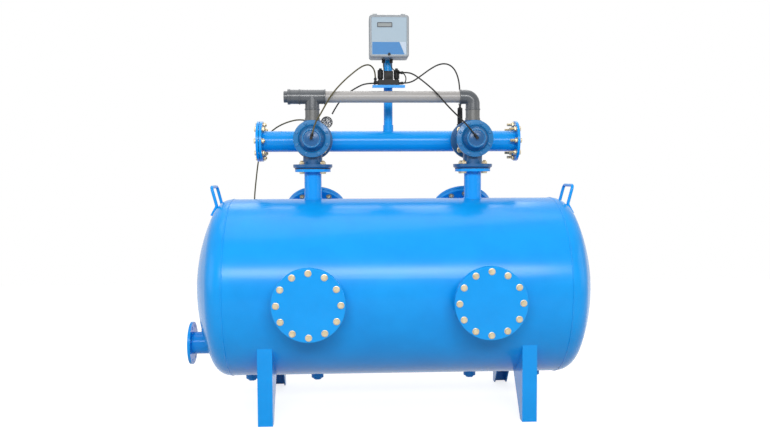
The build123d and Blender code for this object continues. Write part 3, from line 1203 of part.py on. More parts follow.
LEFT_ELBOW_AIM = (0.25, 0.0, 1.0)
RIGHT_ELBOW_AIM = (-0.62, 0.0, 0.78)
LEFT_MOUTH = bonnet_elbow(0, LEFT_ELBOW_AIM)[2]
RIGHT_MOUTH = bonnet_elbow(1, RIGHT_ELBOW_AIM)[2]
BLOCK_LEFT = POST_PLACE - BLOCK_WIDTH / 2
BLOCK_RIGHT = POST_PLACE + BLOCK_WIDTH / 2
PORT_HEIGHT = BLOCK_BASE + BLOCK_HEIGHT * 0.5
UPPER_CORNER = Vector(BLOCK_LEFT - ELBOW_STUD, PILOT_Y, PORT_HEIGHT + 4)
UPPER_MOUTH = UPPER_CORNER + Vector(0, 0, FITTING_LENGTH)
DRAIN_MOUTH = Vector(BLOCK_LEFT - FITTING_LENGTH, PILOT_Y - 13, PORT_HEIGHT - 3)
SUPPLY_MOUTH = Vector(BLOCK_RIGHT + FITTING_LENGTH, PILOT_Y, PORT_HEIGHT)
HOUSING_RIGHT = POST_PLACE + HOUSING_WIDTH / 2
PILOT_AIM = Vector(1, -0.5, 0).normalized()
PILOT_CORE = Vector(PILOTS[1], PILOT_Y, BLOCK_TOP + PILOT_FOOT + COIL_HEIGHT * 0.65)
RIGHT_PILOT_MOUTH = PILOT_CORE + PILOT_AIM * (COIL_WIDTH / 2 + FITTING_LENGTH)
STRAINER_TOP = POST_FOOT + STRAINER_BASE + STRAINER_LENGTH
STRAINER_MOUTH = Vector(STRAINER_PLACE, MANIFOLD_BACK, STRAINER_TOP + FITTING_LENGTH)
SENSE_ANGLE = math.radians(SENSE_RISE)
SENSE_OUT = Vector(0, math.cos(SENSE_ANGLE), math.sin(SENSE_ANGLE))
SENSE_ROOT = Vector(SENSE_PLACE, 0, 0) + SENSE_OUT * (TANK_RADIUS - 1)
SENSE_CORNER = Vector(SENSE_PLACE, 0, 0) + SENSE_OUT * (TANK_RADIUS + SENSE_STAND)
SENSE_MOUTH = SENSE_CORNER + Vector(0, 0, FITTING_LENGTH)
TAP_ANGLE = math.radians(GAUGE_TILT)
TAP_OUT = Vector(0, -math.sin(TAP_ANGLE), math.cos(TAP_ANGLE))
TAP_ROOT = Vector(GAUGE_TAP, MANIFOLD_BACK, VALVE_HEIGHT) + TAP_OUT * (MANIFOLD_RADIUS - 1)
TAP_CORNER = TAP_ROOT + TAP_OUT * (GAUGE_NIPPLE + 1)
GAUGE_AIM = Vector(1, 0, 1).normalized()
GAUGE_CENTRE = TAP_CORNER + GAUGE_AIM * GAUGE_STEM
SENSE_AIM = Vector(-0.75, 0, 0.66).normalized()
SENSE_START = TAP_CORNER + SENSE_AIM * FITTING_LENGTH


def tube_fittings():
    """All the push-in fittings and the tapping on the back of the tank."""
    seat, corner, _ = bonnet_elbow(0, LEFT_ELBOW_AIM)
    pieces = [elbow_fitting(seat, corner, LEFT_ELBOW_AIM)]
    seat, corner, _ = bonnet_elbow(1, RIGHT_ELBOW_AIM)
    pieces.append(elbow_fitting(seat, corner, RIGHT_ELBOW_AIM))
    block_side = Vector(BLOCK_LEFT, UPPER_CORNER.Y, UPPER_CORNER.Z)
    pieces.append(elbow_fitting(block_side, UPPER_CORNER, (0, 0, 1)))
    pieces.append(fitting(DRAIN_MOUTH, (-1, 0, 0)))
    pieces.append(fitting(SUPPLY_MOUTH, (1, 0, 0)))
    pieces.append(fitting(RIGHT_PILOT_MOUTH, PILOT_AIM))
    pieces.append(fitting(STRAINER_MOUTH, (0, 0, 1)))
    tapping = elbow_fitting(SENSE_ROOT, SENSE_CORNER, (0, 0, 1)) - TANK_BORE
    pieces.append(tapping)
    return joined(pieces)


# Gauge and strainer

def gauge_stem():
    """The nipple on the manifold, the brass elbow and the gauge's stem."""
    nipple = rod(FITTING_RADIUS, TAP_ROOT, TAP_CORNER) - HEADER_SOLID
    cube = Plane(TAP_CORNER, z_dir=TAP_OUT) * Box(TAP_CUBE, TAP_CUBE, TAP_CUBE)
    stem = rod(FITTING_RADIUS * FITTING_STUD_SHARE, TAP_CORNER,
               GAUGE_CENTRE - GAUGE_AIM * (GAUGE_RADIUS - GAUGE_BITE))
    arm = Vector(SENSE_START) - TAP_CORNER
    side = rod(FITTING_RADIUS * FITTING_ELBOW_SHARE, TAP_CORNER, TAP_CORNER + arm)
    ring = rod(GAUGE_RADIUS, GAUGE_CENTRE + Vector(0, GAUGE_DEPTH / 2, 0),
               GAUGE_CENTRE - Vector(0, GAUGE_DEPTH / 2, 0))
    return nipple + cube + stem + side - ring


def gauge_case():
    """The gauge's steel case: a cup with a rolled rim."""
    back = GAUGE_CENTRE + Vector(0, GAUGE_DEPTH / 2, 0)
    front = GAUGE_CENTRE - Vector(0, GAUGE_DEPTH / 2, 0)
    cup = rod(GAUGE_RADIUS, back, front)
    cup = fillet(cup.edges().filter_by(GeomType.CIRCLE), GAUGE_EDGE)
    return cup - rod(GAUGE_RADIUS - GAUGE_RIM, back - Vector(0, GAUGE_BACK, 0),
                     front - Vector(0, OVERCUT, 0))


def gauge_dial():
    """The dial plate, standing on the case's back, with the needle's pivot."""
    back = GAUGE_CENTRE + Vector(0, GAUGE_DEPTH / 2 - GAUGE_BACK, 0)
    face = back - Vector(0, DIAL_STAND, 0)
    dial = rod(GAUGE_RADIUS - GAUGE_RIM - SEAT, back, face)
    return dial + rod(PIN_RADIUS, face, face - Vector(0, PIN_LENGTH, 0))


def gauge_needle():
    """The needle: a hub on the pivot, a long arm and a short tail."""
    face = GAUGE_CENTRE + Vector(0, GAUGE_DEPTH / 2 - GAUGE_BACK - DIAL_STAND - NEEDLE_STAND, 0)
    plane = Plane(face, x_dir=(1, 0, 0), z_dir=(0, -1, 0))
    long, tail = GAUGE_RADIUS - NEEDLE_INSET, NEEDLE_INSET
    blade = make_face(Polyline((-NEEDLE_TAIL_HALF, -tail), (NEEDLE_TAIL_HALF, -tail),
                               (NEEDLE_TIP_HALF, long), (-NEEDLE_TIP_HALF, long), close=True))
    needle = extrude(plane * Rot(0, 0, NEEDLE_REST) * blade, amount=1)
    needle += extrude(plane * Circle(NEEDLE_HUB), amount=NEEDLE_THICKNESS)
    return needle - extrude(plane.offset(-OVERCUT) * Circle(PIN_RADIUS + PIN_GAP),
                            amount=NEEDLE_THICKNESS + 3 * OVERCUT)


def gauge_lens():
    """The clear disc in front of the dial."""
    front = GAUGE_CENTRE - Vector(0, GAUGE_DEPTH / 2, 0)
    return rod(GAUGE_RADIUS - GAUGE_RIM - SEAT, front + Vector(0, LENS_BACK, 0),
               front + Vector(0, LENS_FRONT, 0))


def control_strainer():
    """The strainer for the control water: a socket on the manifold, collar, bowl and cap."""
    x, y = STRAINER_PLACE, MANIFOLD_BACK
    low = POST_FOOT + STRAINER_BASE
    socket_part = rod(STRAINER_RADIUS * STRAINER_SOCKET_SHARE, (x, y, VALVE_HEIGHT),
                      (x, y, low)) - HEADER_SOLID
    bowl = rod(STRAINER_RADIUS, (x, y, low), (x, y, STRAINER_TOP))
    bowl = chamfer(bowl.edges().filter_by(GeomType.CIRCLE), STRAINER_EDGE)
    collar = rod(STRAINER_RADIUS * STRAINER_COLLAR_SHARE, (x, y, low),
                 (x, y, low + STRAINER_COLLAR_LENGTH))
    return socket_part + bowl + collar


# Control tubes: straight runs joined by tangent arcs, through points chosen by hand

def cord(radius, points):
    """A tube along a route; each arc is as large as its two runs allow."""
    points = [Vector(point) for point in points]
    runs = [b - a for a, b in zip(points, points[1:])]
    radii = []
    for before, after in zip(runs, runs[1:]):
        turn = math.radians(before.get_angle(after))
        radii.append(BEND_SHARE * min(before.length, after.length) / math.tan(turn / 2))
    path = FilletPolyline(*points, radius=radii)
    solid = sweep(Plane(path @ 0, z_dir=path % 0) * Circle(radius), path=path)
    print("cord length", round(path.length), "least bend", round(min(radii)))
    return solid


def leaving(mouth, direction, run):
    """The mouth a tube leaves, and its next point straight out of it."""
    return [mouth, mouth + Vector(direction).normalized() * run]


LEFT_TUBE = (leaving(LEFT_MOUTH, LEFT_ELBOW_AIM, 52) + [
    (-377, -118, 880), (-349, -86, 935), (-319, -56, 989), (-283, -14, 1038), (-243, 40, 1084),
    (-206, 88, 1121), (-173, 124, 1151), (-143, 152, 1171), (-116, 174, 1176), (-96, 191, 1163)]
    + leaving(UPPER_MOUTH, (0, 0, 1), 28)[::-1])
RIGHT_TUBE = (leaving(RIGHT_MOUTH, RIGHT_ELBOW_AIM, 50) + [
    (340, -128, 862), (303, -102, 902), (266, -76, 946), (226, -50, 1000), (186, 20, 1050),
    (152, 90, 1090), (127, 134, 1116)] + leaving(RIGHT_PILOT_MOUTH, PILOT_AIM, 34)[::-1])
SUPPLY_TUBE = (leaving(SUPPLY_MOUTH, (1, 0, 0), 40) + [
    (162, 212, 1118), (218, 222, 1160), (270, 231, 1189), (318, 239, 1192), (356, 245, 1166),
    (380, 249, 1112)] + leaving(STRAINER_MOUTH, (0, 0, 1), 62)[::-1])
DRAIN_TUBE = (leaving(DRAIN_MOUTH, (-1, 0, 0), 46) + [
    (-186, 183, 1055), (-226, 177, 1029), (-265, 171, 995), (-296, 167, 954), (-320, 164, 910)])
SENSING_TUBE = (leaving(SENSE_START, SENSE_AIM, 40) + [
    (-500, 212, 886), (-570, 240, 872), (-640, 296, 844), (-700, 366, 796), (-735, 410, 731),
    (-753, 431, 656), (-768, 448, 553), (-780, 458, 455)]
    + leaving(SENSE_MOUTH, (0, 0, 1), 100)[::-1])
GLAND_Y = CASE_BACK - GLAND_DEPTH
GLAND_FOOT = CASE_BOTTOM - GLAND_LENGTH
LEFT_CABLE = (leaving(Vector(cable_glands()[0], GLAND_Y, GLAND_FOOT), (0, 0, -1), 14)
              + leaving(Vector(CABLE_ENTRY_X, CABLE_ENTRY_Y, HOUSING_TOP), (0, 0, 1), 14)[::-1])
BLOCK_ENTRY = Vector(BLOCK_RIGHT, BLOCK_BACK - BLOCK_DEPTH + ENTRY_INSET, BLOCK_BASE + ENTRY_INSET)
RIGHT_CABLE = (leaving(Vector(cable_glands()[1], GLAND_Y, GLAND_FOOT), (0, 0, -1), 18) + [
    (10, 180, 1152), (28, 174, 1142), (50, 169, 1138), (69, 166, 1129), (80, 167, 1112),
    (82, 171, 1094), (75, 179, 1079)] + leaving(BLOCK_ENTRY, (1, 0, 0), 15)[::-1])


# Write the nodes
SHIFT_X = (OUTLET_FACE - HALF_SHELL - HEAD_DEPTH) / 2
FRONT_REACH = COVER_FACE + BOLT_HEAD
TILT = math.radians(FILL_TILT)
BOLT_REACH = PORT_BOLT_CIRCLE + BOLT_FLATS / math.sqrt(3)
BACK_REACH = (COVER_FACE + BOLT_HEAD) * math.sin(TILT) + BOLT_REACH * math.cos(TILT)
SHIFT_Y = (FRONT_REACH - BACK_REACH) / 2
PLACE = Pos(SHIFT_X, SHIFT_Y, AXIS_HEIGHT)


def save(name, shape):
    """Move a finished node to its place and write it."""
    if isinstance(shape, (list, tuple)):
        shape = joined(shape)
    export_step(PLACE * shape, f"parts/{name}.step")


VALVE_NODES = {
    "valve_body": valve_body,
    "bonnet": valve_bonnet,
    "diaphragm": valve_diaphragm,
    "plunger": valve_plunger,
    "spring": valve_spring,
}

save("tank_shell", tank_shell())
save("left_head", left_head())
save("right_head", HEADS[0])
save("chamber_partition", chamber_partition())
save("nozzle_plate", nozzle_plate())
save("underdrain_nozzles", [place * nozzle() for place in nozzle_places()])
save("inlet_diffusers", inlet_diffusers())
save("filter_media", filter_media())
save("port_necks", [port_neck(plane) for plane in all_ports()])
save("flange_gaskets", [port_gasket(plane) for plane in all_ports()]
     + [riser_gasket(x) for x in CHAMBERS] + manifold_gaskets())
save("front_port_covers", [port_cover(port_plane(x, False)) for x in CHAMBERS])
save("fill_port_covers", [port_cover(port_plane(x, True)) for x in CHAMBERS])
save("port_bolts", [piece for plane in all_ports() for piece in port_bolts(plane)])
save("risers", [riser(x) for x in CHAMBERS])
save("valve_bolts", [piece for x in CHAMBERS for piece in riser_bolts(x) + branch_bolts(x)])
for side, x in zip(("left", "right"), CHAMBERS):
    for name, make in VALVE_NODES.items():
        save(f"{side}_{name}", at_valve(x, make()))
save("bonnet_bolts", [piece for x in CHAMBERS for piece in at_valve(x, bonnet_bolts())])
save("inlet_manifold", inlet_manifold())
save("end_blind_flange", end_blind_flange())
save("manifold_end_bolts", manifold_end_bolts())
save("backwash_tee", backwash_tee())
save("backwash_pipe", backwash_pipe())
save("backwash_elbow", backwash_elbow())
save("backwash_outlet", backwash_outlet())
save("valve_adaptors", valve_adaptors())
save("outlet_pipe", outlet_pipe())
save("legs", [leg(x, y) for x in (-1, 1) for y in (-1, 1)])
save("lifting_handles", [lifting_handle(), mirror(lifting_handle(), Plane.YZ)])
save("drain_fittings", drain_fittings())
save("controller_post", controller_post())
save("controller_case", controller_case())
save("controller_glands", controller_glands())
save("controller_cover", controller_cover())
save("controller_board", controller_board())
save("cover_latch", cover_latch())
save("pilot_block", pilot_block())
save("solenoid_pilots", solenoid_pilots())
save("tube_fittings", tube_fittings())
save("gauge_stem", gauge_stem())
save("gauge_case", gauge_case())
save("gauge_dial", gauge_dial())
save("gauge_needle", gauge_needle())
save("gauge_lens", gauge_lens())
save("control_strainer", control_strainer())
save("left_valve_tube", cord(TUBE_RADIUS, LEFT_TUBE))
save("right_valve_tube", cord(TUBE_RADIUS, RIGHT_TUBE))
save("supply_tube", cord(TUBE_RADIUS, SUPPLY_TUBE))
save("drain_tube", cord(TUBE_RADIUS, DRAIN_TUBE))
save("sensing_tube", cord(TUBE_RADIUS, SENSING_TUBE))
save("left_pilot_cable", cord(CABLE_RADIUS, LEFT_CABLE))
save("right_pilot_cable", cord(CABLE_RADIUS, RIGHT_CABLE))

print("valve stroke", STROKE, "moved by", SHIFT_X, SHIFT_Y, AXIS_HEIGHT)
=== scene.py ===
# %% [markdown]
# # An irrigation media filter
# This lesson dresses a finished CAD model of a water filter: a horizontal steel tank with two
# chambers, two diaphragm valves on risers, an inlet manifold, a grey backwash line and a small
# controller on a post. The model gives every size and place. The cells add what a CAD model
# leaves out: paint, weld beads, bolts with real threads, moulded edges and smooth tubes.
# The first cell loads the model as a fixed frame. Its pieces sit at the origin, in metres, with
# Z up and the front of the tank towards -Y.

# %% Load the frame
import bmesh
import bpy
import json
import math
from mathutils import Matrix, Vector


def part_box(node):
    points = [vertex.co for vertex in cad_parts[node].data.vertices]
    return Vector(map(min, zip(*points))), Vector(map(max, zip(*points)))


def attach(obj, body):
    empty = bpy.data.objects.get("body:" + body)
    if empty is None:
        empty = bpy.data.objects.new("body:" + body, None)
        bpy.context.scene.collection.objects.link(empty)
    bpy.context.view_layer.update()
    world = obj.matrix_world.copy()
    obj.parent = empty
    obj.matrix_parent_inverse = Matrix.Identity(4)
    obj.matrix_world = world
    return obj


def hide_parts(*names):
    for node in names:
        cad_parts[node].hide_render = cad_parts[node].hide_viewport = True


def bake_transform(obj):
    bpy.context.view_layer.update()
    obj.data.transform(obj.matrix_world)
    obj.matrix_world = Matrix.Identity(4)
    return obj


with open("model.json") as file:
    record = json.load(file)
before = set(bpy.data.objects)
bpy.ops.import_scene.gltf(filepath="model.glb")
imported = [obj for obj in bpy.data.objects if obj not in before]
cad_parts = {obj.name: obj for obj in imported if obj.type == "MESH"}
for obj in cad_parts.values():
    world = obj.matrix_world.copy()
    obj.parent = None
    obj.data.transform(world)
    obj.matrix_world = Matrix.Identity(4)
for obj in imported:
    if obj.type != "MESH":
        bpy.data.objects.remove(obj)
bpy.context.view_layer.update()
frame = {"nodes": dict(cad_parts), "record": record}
nodes = frame["nodes"]
print("pieces in the frame:", len(nodes))

# %% [markdown]
# Little here is placed by eye. Each new piece reads the box of the CAD piece that it dresses
# or sits on, so a change of the model moves the new piece too. Two small functions give a
# box's middle and its size, and the named places are those that several cells need.

# %% Places read from the frame
MM = 0.001


def middle(node):
    """The middle of a node's box."""
    low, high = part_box(node)
    return (low + high) / 2


def extent(node):
    """The size of a node's box along X, Y and Z."""
    low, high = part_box(node)
    return high - low


TANK_AXIS = middle("right_head")
TANK_RADIUS = extent("right_head").z / 2
VALVES = {"left": middle("left_bonnet"), "right": middle("right_bonnet")}
LEFT_X, RIGHT_X = VALVES["left"].x, VALVES["right"].x
print("tank radius", round(TANK_RADIUS, 4), "valves at x", round(LEFT_X, 3), round(RIGHT_X, 3))

# %% [markdown]
# ## Camera and light
# The camera stands where the photographer stood: a little left of the middle and a little
# higher than the tank's top. It looks slightly down and slightly right, through a lens of about
# 36 mm. Its shift stays at zero, so that other views are centred too.

# %% Camera
PHOTO_WIDTH = 770
FOCAL_PIXELS = 772.0
SENSOR_WIDTH = 36.0
CAMERA_PLACE = Vector((-0.2014, -4.0241, 1.2095))
CAMERA_YAW, CAMERA_PITCH, CAMERA_ROLL = 2.6, 3.44, -0.25

camera_data = bpy.data.cameras.new("camera")
camera_data.sensor_width = SENSOR_WIDTH
camera_data.lens = FOCAL_PIXELS / PHOTO_WIDTH * SENSOR_WIDTH
camera = bpy.data.objects.new("camera", camera_data)
camera.location = CAMERA_PLACE
look = Matrix.Rotation(math.radians(-CAMERA_YAW), 4, "Z")
look = look @ Matrix.Rotation(math.radians(90 - CAMERA_PITCH), 4, "X")
look = look @ Matrix.Rotation(math.radians(CAMERA_ROLL), 4, "Z")
camera.rotation_euler = look.to_euler()
bpy.context.scene.collection.objects.link(camera)
bpy.context.scene.camera = camera
print("lens", round(camera_data.lens, 2), "mm")

# %% [markdown]
# Gloss paint shows what stands around it. A long panel above and behind the camera draws the
# pale band along the upper middle of the tank, a panel overhead lights the upper sides, and a
# weaker one on each side keeps the ends from going dark. The last one lights the back. All are
# soft, as in a bright shed. Sizes are in metres and powers in watts.

# %% Lamps


def lamp(name, place, aim, size, watts):
    """A soft rectangular lamp, turned towards a point."""
    data = bpy.data.lights.new(name, "AREA")
    data.shape = "RECTANGLE"
    data.size, data.size_y = size
    data.energy = watts
    thing = bpy.data.objects.new(name, data)
    thing.location = place
    direction = Vector(aim) - Vector(place)
    thing.rotation_euler = direction.to_track_quat("-Z", "Y").to_euler()
    bpy.context.scene.collection.objects.link(thing)


lamp("front_panel", place=(0.0, -5.2, 3.0), aim=(0.0, 0.0, 0.75), size=(4.4, 0.9), watts=235)
lamp("overhead_panel", place=(-0.3, 0.4, 4.8), aim=(0.0, 0.0, 1.0), size=(4.5, 2.6), watts=60)
lamp("left_panel", place=(-4.6, -1.6, 1.8), aim=(0.0, 0.0, 1.0), size=(2.4, 2.4), watts=26)
lamp("right_panel", place=(4.6, -1.2, 1.8), aim=(0.0, 0.0, 1.0), size=(2.4, 2.4), watts=22)
lamp("back_panel", place=(0.0, 3.6, 4.6), aim=(0.0, 0.0, 1.2), size=(4.0, 1.6), watts=45)

# %% [markdown]
# The photograph's ground is pure white. The world is white to the camera, through glass and in
# reflections, and a calmer grey as a lamp. The floor does the same: a camera ray sees it nearly
# white, darkened only where the filter shades it, so that the object still stands on something.

# %% A shader with two sides
VIEWING_RAYS = ("Is Transmission Ray", "Is Glossy Ray")


def ray_switch(tree, seen, lit):
    """A shader that is one thing to the camera, glass and mirrors, and another as a light."""
    path = tree.nodes.new("ShaderNodeLightPath")
    any_view = path.outputs["Is Camera Ray"]
    for ray in VIEWING_RAYS:
        either = tree.nodes.new("ShaderNodeMath")
        either.operation = "MAXIMUM"
        tree.links.new(any_view, either.inputs[0])
        tree.links.new(path.outputs[ray], either.inputs[1])
        any_view = either.outputs[0]
    mix = tree.nodes.new("ShaderNodeMixShader")
    tree.links.new(any_view, mix.inputs[0])
    tree.links.new(lit, mix.inputs[1])
    tree.links.new(seen, mix.inputs[2])
    return mix.outputs[0]


print("kinds of ray that see the white:", 1 + len(VIEWING_RAYS))

# %% World
SKY_LIGHT = 0.42
SKY_COLOUR = (0.95, 0.97, 1.0, 1)
WHITE = (1, 1, 1, 1)

world = bpy.data.worlds.new("studio")
world.use_nodes = True
bpy.context.scene.world = world
tree = world.node_tree
seen = tree.nodes["Background"]
seen.inputs["Color"].default_value = WHITE
lit = tree.nodes.new("ShaderNodeBackground")
lit.inputs["Color"].default_value = SKY_COLOUR
lit.inputs["Strength"].default_value = SKY_LIGHT
surface = ray_switch(tree, seen.outputs[0], lit.outputs[0])
tree.links.new(surface, tree.nodes["World Output"].inputs["Surface"])
print("sky light", SKY_LIGHT)

# %% Floor
FLOOR_SIZE = 9.0
FLOOR_GREY = (0.42, 0.42, 0.42, 1)
FLOOR_ROUGHNESS = 0.9
FLOOR_GLOW = 0.80

half = FLOOR_SIZE / 2
corners = [(-half, -half, 0), (half, -half, 0), (half, half, 0), (-half, half, 0)]
floor_mesh = bpy.data.meshes.new("floor")
floor_mesh.from_pydata(corners, [], [(0, 1, 2, 3)])
floor = bpy.data.objects.new("floor", floor_mesh)
bpy.context.scene.collection.objects.link(floor)

floor_paint = bpy.data.materials.new("floor_white")
floor_paint.use_nodes = True
tree = floor_paint.node_tree
matt = tree.nodes["Principled BSDF"]
matt.inputs["Base Color"].default_value = FLOOR_GREY
matt.inputs["Roughness"].default_value = FLOOR_ROUGHNESS
glow = tree.nodes.new("ShaderNodeEmission")
glow.inputs["Strength"].default_value = FLOOR_GLOW
both = tree.nodes.new("ShaderNodeAddShader")
tree.links.new(matt.outputs[0], both.inputs[0])
tree.links.new(glow.outputs[0], both.inputs[1])
surface = ray_switch(tree, both.outputs[0], matt.outputs[0])
tree.links.new(surface, tree.nodes["Material Output"].inputs["Surface"])
floor.data.materials.append(floor_paint)
bpy.context.scene.view_settings.view_transform = "Standard"
print("floor", FLOOR_SIZE, "m square")

# %% [markdown]
# ## Finishes
# Every slot of the model gets a material of its own, made of nodes. One function builds the common
# case: a base colour that drifts a little between two tones, a roughness that drifts with it,
# and two sizes of bump, one for waviness and one for grain. Texture coordinates are the
# object's own, in metres, so a scale of 100 means features about a centimetre apart. The depth
# of a bump is given in millimetres.

# %% A maker of finishes
TONE_EDGES = (0.3, 0.7)
SMOOTHEST = 0.02
GRAIN_STRENGTH = 0.4
WAVE_SCALE = 3.5
finishes = {}


def add_node(tree, kind, **values):
    """Add a node, and set the inputs or the settings that are named."""
    node = tree.nodes.new(kind)
    for name, value in values.items():
        if name in node.inputs:
            node.inputs[name].default_value = value
        else:
            setattr(node, name, value)
    return node


def finish(name, colour, second, roughness, drift=0.06, patch=6.0, grain=400.0, grain_depth=0.05,
           wave=0.0, metallic=0.0, shine=0.5, stretch=(1, 1, 1)):
    """Make a finish from two tones, a roughness and its bumps, and keep it by its name."""
    material = bpy.data.materials.new(name)
    material.use_nodes = True
    tree = material.node_tree
    shader = tree.nodes["Principled BSDF"]
    shader.inputs["Metallic"].default_value = metallic
    shader.inputs["Specular IOR Level"].default_value = shine
    place = add_node(tree, "ShaderNodeTexCoord")
    stretched = add_node(tree, "ShaderNodeMapping", Scale=stretch)
    tree.links.new(place.outputs["Object"], stretched.inputs["Vector"])

    cloud = add_node(tree, "ShaderNodeTexNoise", Scale=patch, Detail=6.0, Roughness=0.6)
    tree.links.new(stretched.outputs[0], cloud.inputs["Vector"])
    tones = add_node(tree, "ShaderNodeValToRGB")
    for end, edge, tone in zip(tones.color_ramp.elements, TONE_EDGES, (colour, second)):
        end.position = edge
        end.color = (*tone, 1)
    tree.links.new(cloud.outputs["Fac"], tones.inputs["Fac"])
    tree.links.new(tones.outputs["Color"], shader.inputs["Base Color"])
    rough = add_node(tree, "ShaderNodeMapRange")
    rough.inputs["To Min"].default_value = max(SMOOTHEST, roughness - drift)
    rough.inputs["To Max"].default_value = roughness + drift
    tree.links.new(cloud.outputs["Fac"], rough.inputs["Value"])
    tree.links.new(rough.outputs[0], shader.inputs["Roughness"])

    fine = add_node(tree, "ShaderNodeTexNoise", Scale=grain, Detail=3.0)
    tree.links.new(stretched.outputs[0], fine.inputs["Vector"])
    bump = add_node(tree, "ShaderNodeBump", Strength=GRAIN_STRENGTH, Distance=grain_depth * MM)
    tree.links.new(fine.outputs["Fac"], bump.inputs["Height"])
    if wave:
        slow = add_node(tree, "ShaderNodeTexNoise", Scale=WAVE_SCALE, Detail=1.0)
        tree.links.new(stretched.outputs[0], slow.inputs["Vector"])
        swell = add_node(tree, "ShaderNodeBump", Strength=1.0, Distance=wave * MM)
        tree.links.new(slow.outputs["Fac"], swell.inputs["Height"])
        tree.links.new(swell.outputs[0], bump.inputs["Normal"])
    tree.links.new(bump.outputs[0], shader.inputs["Normal"])
    finishes[name] = material


print("finish() is ready, with tones between", *TONE_EDGES)

# %% [markdown]
# The filter wears three blues, and one of them is painted light. The tank and pipes have a bright
# gloss enamel, sprayed over blasted steel, with the faint orange peel of a thick coat. The cast
# valves are a deeper blue, with the grain of sand casting under the paint. The rings of their
# bonnets and the bonnet screws get a lighter copy of that blue, between the two, as painted light
# on the front-facing flat rings and a painted highlight on the nose rings. Zinc bolts are a dull
# gold. The small metal pieces are brass, spring steel and dark steel, and the gauge's dial is
# white with black marks.

# %% Paint and metal
finish("tank_paint", (0.003, 0.280, 0.740), (0.004, 0.315, 0.810), 0.22, drift=0.04,
       grain=260, grain_depth=0.03, wave=0.35, shine=0.22)
finish("valve_casting", (0.005, 0.080, 0.225), (0.008, 0.100, 0.270), 0.30, drift=0.07,
       grain=420, grain_depth=0.35, shine=0.4)
# A lighter copy of the valve casting's blue: painted light on the bonnets' front-facing rings and
# screws, a painted highlight on their nose rings.
finish("bonnet_paint", (0.008, 0.135, 0.340), (0.012, 0.165, 0.390), 0.26,
       grain=420, grain_depth=0.25, shine=0.4)
finish("zinc_bolts", (0.47, 0.38, 0.23), (0.62, 0.54, 0.38), 0.36, drift=0.10, patch=45,
       grain=700, grain_depth=0.04, metallic=0.75)
finish("inner_steel", (0.30, 0.31, 0.32), (0.38, 0.38, 0.38), 0.42, metallic=0.8)
finish("spring_steel", (0.36, 0.36, 0.37), (0.46, 0.46, 0.46), 0.3, metallic=1)
finish("brass", (0.60, 0.42, 0.15), (0.70, 0.52, 0.22), 0.3, patch=40, metallic=1)
finish("gauge_steel", (0.05, 0.05, 0.052), (0.09, 0.09, 0.09), 0.28, metallic=0.6)
finish("dial_face", (0.82, 0.83, 0.83), (0.86, 0.86, 0.86), 0.5, grain_depth=0.01)
finish("needle_black", (0.012, 0.012, 0.012), (0.02, 0.02, 0.02), 0.4)
print("finishes:", len(finishes))

# %% [markdown]
# The backwash line is plastic: satin grey pipe with dark, smoother fittings. The pipe's two
# tones are stretched along X, as streaks from extrusion are. The threaded adaptors are a
# weathered darker grey, in patches. The tubes are olive and black, and the rest is moulded
# plastic, rubber, sand and a printed board.

# %% Plastic, rubber and sand
finish("dark_pvc", (0.062, 0.068, 0.076), (0.085, 0.092, 0.100), 0.26, drift=0.05,
       grain=500, grain_depth=0.04, wave=0.15)
finish("grey_pvc", (0.300, 0.288, 0.276), (0.345, 0.332, 0.320), 0.36, patch=9, grain=600,
       stretch=(0.25, 1, 1))
finish("adaptor_pvc", (0.085, 0.087, 0.084), (0.150, 0.150, 0.144), 0.36, drift=0.08, patch=26)
finish("black_plastic", (0.006, 0.006, 0.007), (0.011, 0.011, 0.012), 0.46,
       grain=900, grain_depth=0.08, shine=0.2)
finish("strainer_plastic", (0.007, 0.007, 0.008), (0.012, 0.012, 0.013), 0.42,
       grain=800, grain_depth=0.08, shine=0.25)
finish("gasket_rubber", (0.010, 0.010, 0.011), (0.02, 0.02, 0.02), 0.7)
finish("olive_tube", (0.062, 0.052, 0.018), (0.085, 0.073, 0.027), 0.40,
       grain=700, grain_depth=0.03, shine=0.25)
finish("black_tube", (0.008, 0.008, 0.006), (0.015, 0.014, 0.011), 0.42,
       grain=700, grain_depth=0.03, shine=0.2)
finish("sand", (0.42, 0.32, 0.19), (0.58, 0.47, 0.31), 0.85, patch=500, grain=1200,
       grain_depth=0.8)
finish("board", (0.012, 0.13, 0.045), (0.02, 0.18, 0.06), 0.4, patch=60)
print("finishes:", len(finishes))

# %% [markdown]
# The controller's case and cover are a fine-grained grey plastic. Its front sheet is printed in
# flat colours under a matt film, so those have hardly any bump. The display is a plain grey in
# a dark window.

# %% Controller finishes
MOULDED = {"grain": 1100, "grain_depth": 0.12}
PRINTED = {"grain": 1500, "grain_depth": 0.03, "shine": 0.3}

finish("case_plastic", (0.30, 0.32, 0.33), (0.34, 0.36, 0.37), 0.42, **MOULDED)
finish("cover_plastic", (0.21, 0.23, 0.25), (0.25, 0.27, 0.29), 0.40, **MOULDED)
finish("sheet_blue_grey", (0.30, 0.39, 0.46), (0.33, 0.42, 0.49), 0.45, **PRINTED)
finish("field_blue", (0.030, 0.175, 0.420), (0.040, 0.195, 0.450), 0.45, **PRINTED)
finish("field_pale", (0.42, 0.50, 0.60), (0.46, 0.54, 0.64), 0.45, **PRINTED)
finish("window_dark", (0.045, 0.052, 0.065), (0.055, 0.062, 0.075), 0.4, shine=0.3)
finish("display_grey", (0.26, 0.28, 0.28), (0.30, 0.32, 0.32), 0.5, patch=60, shine=0.2,
       stretch=(1, 1, 6))
print("finishes:", len(finishes))

# %% [markdown]
# It is clear all over, and only its roughness changes a little from place to place, as with a
# wiped lens. Then every piece of the frame gets the finish of its own slot. The adaptors alone
# get one that differs from their slot, because they are darker than the pipe.

# %% Glass, and the finish of each piece
GLASS_BEND = 1.45
SMEAR_SCALE = 120.0
CLEANEST, DULLEST = 0.01, 0.06
OWN_FINISH = {"valve_adaptors": "adaptor_pvc"}

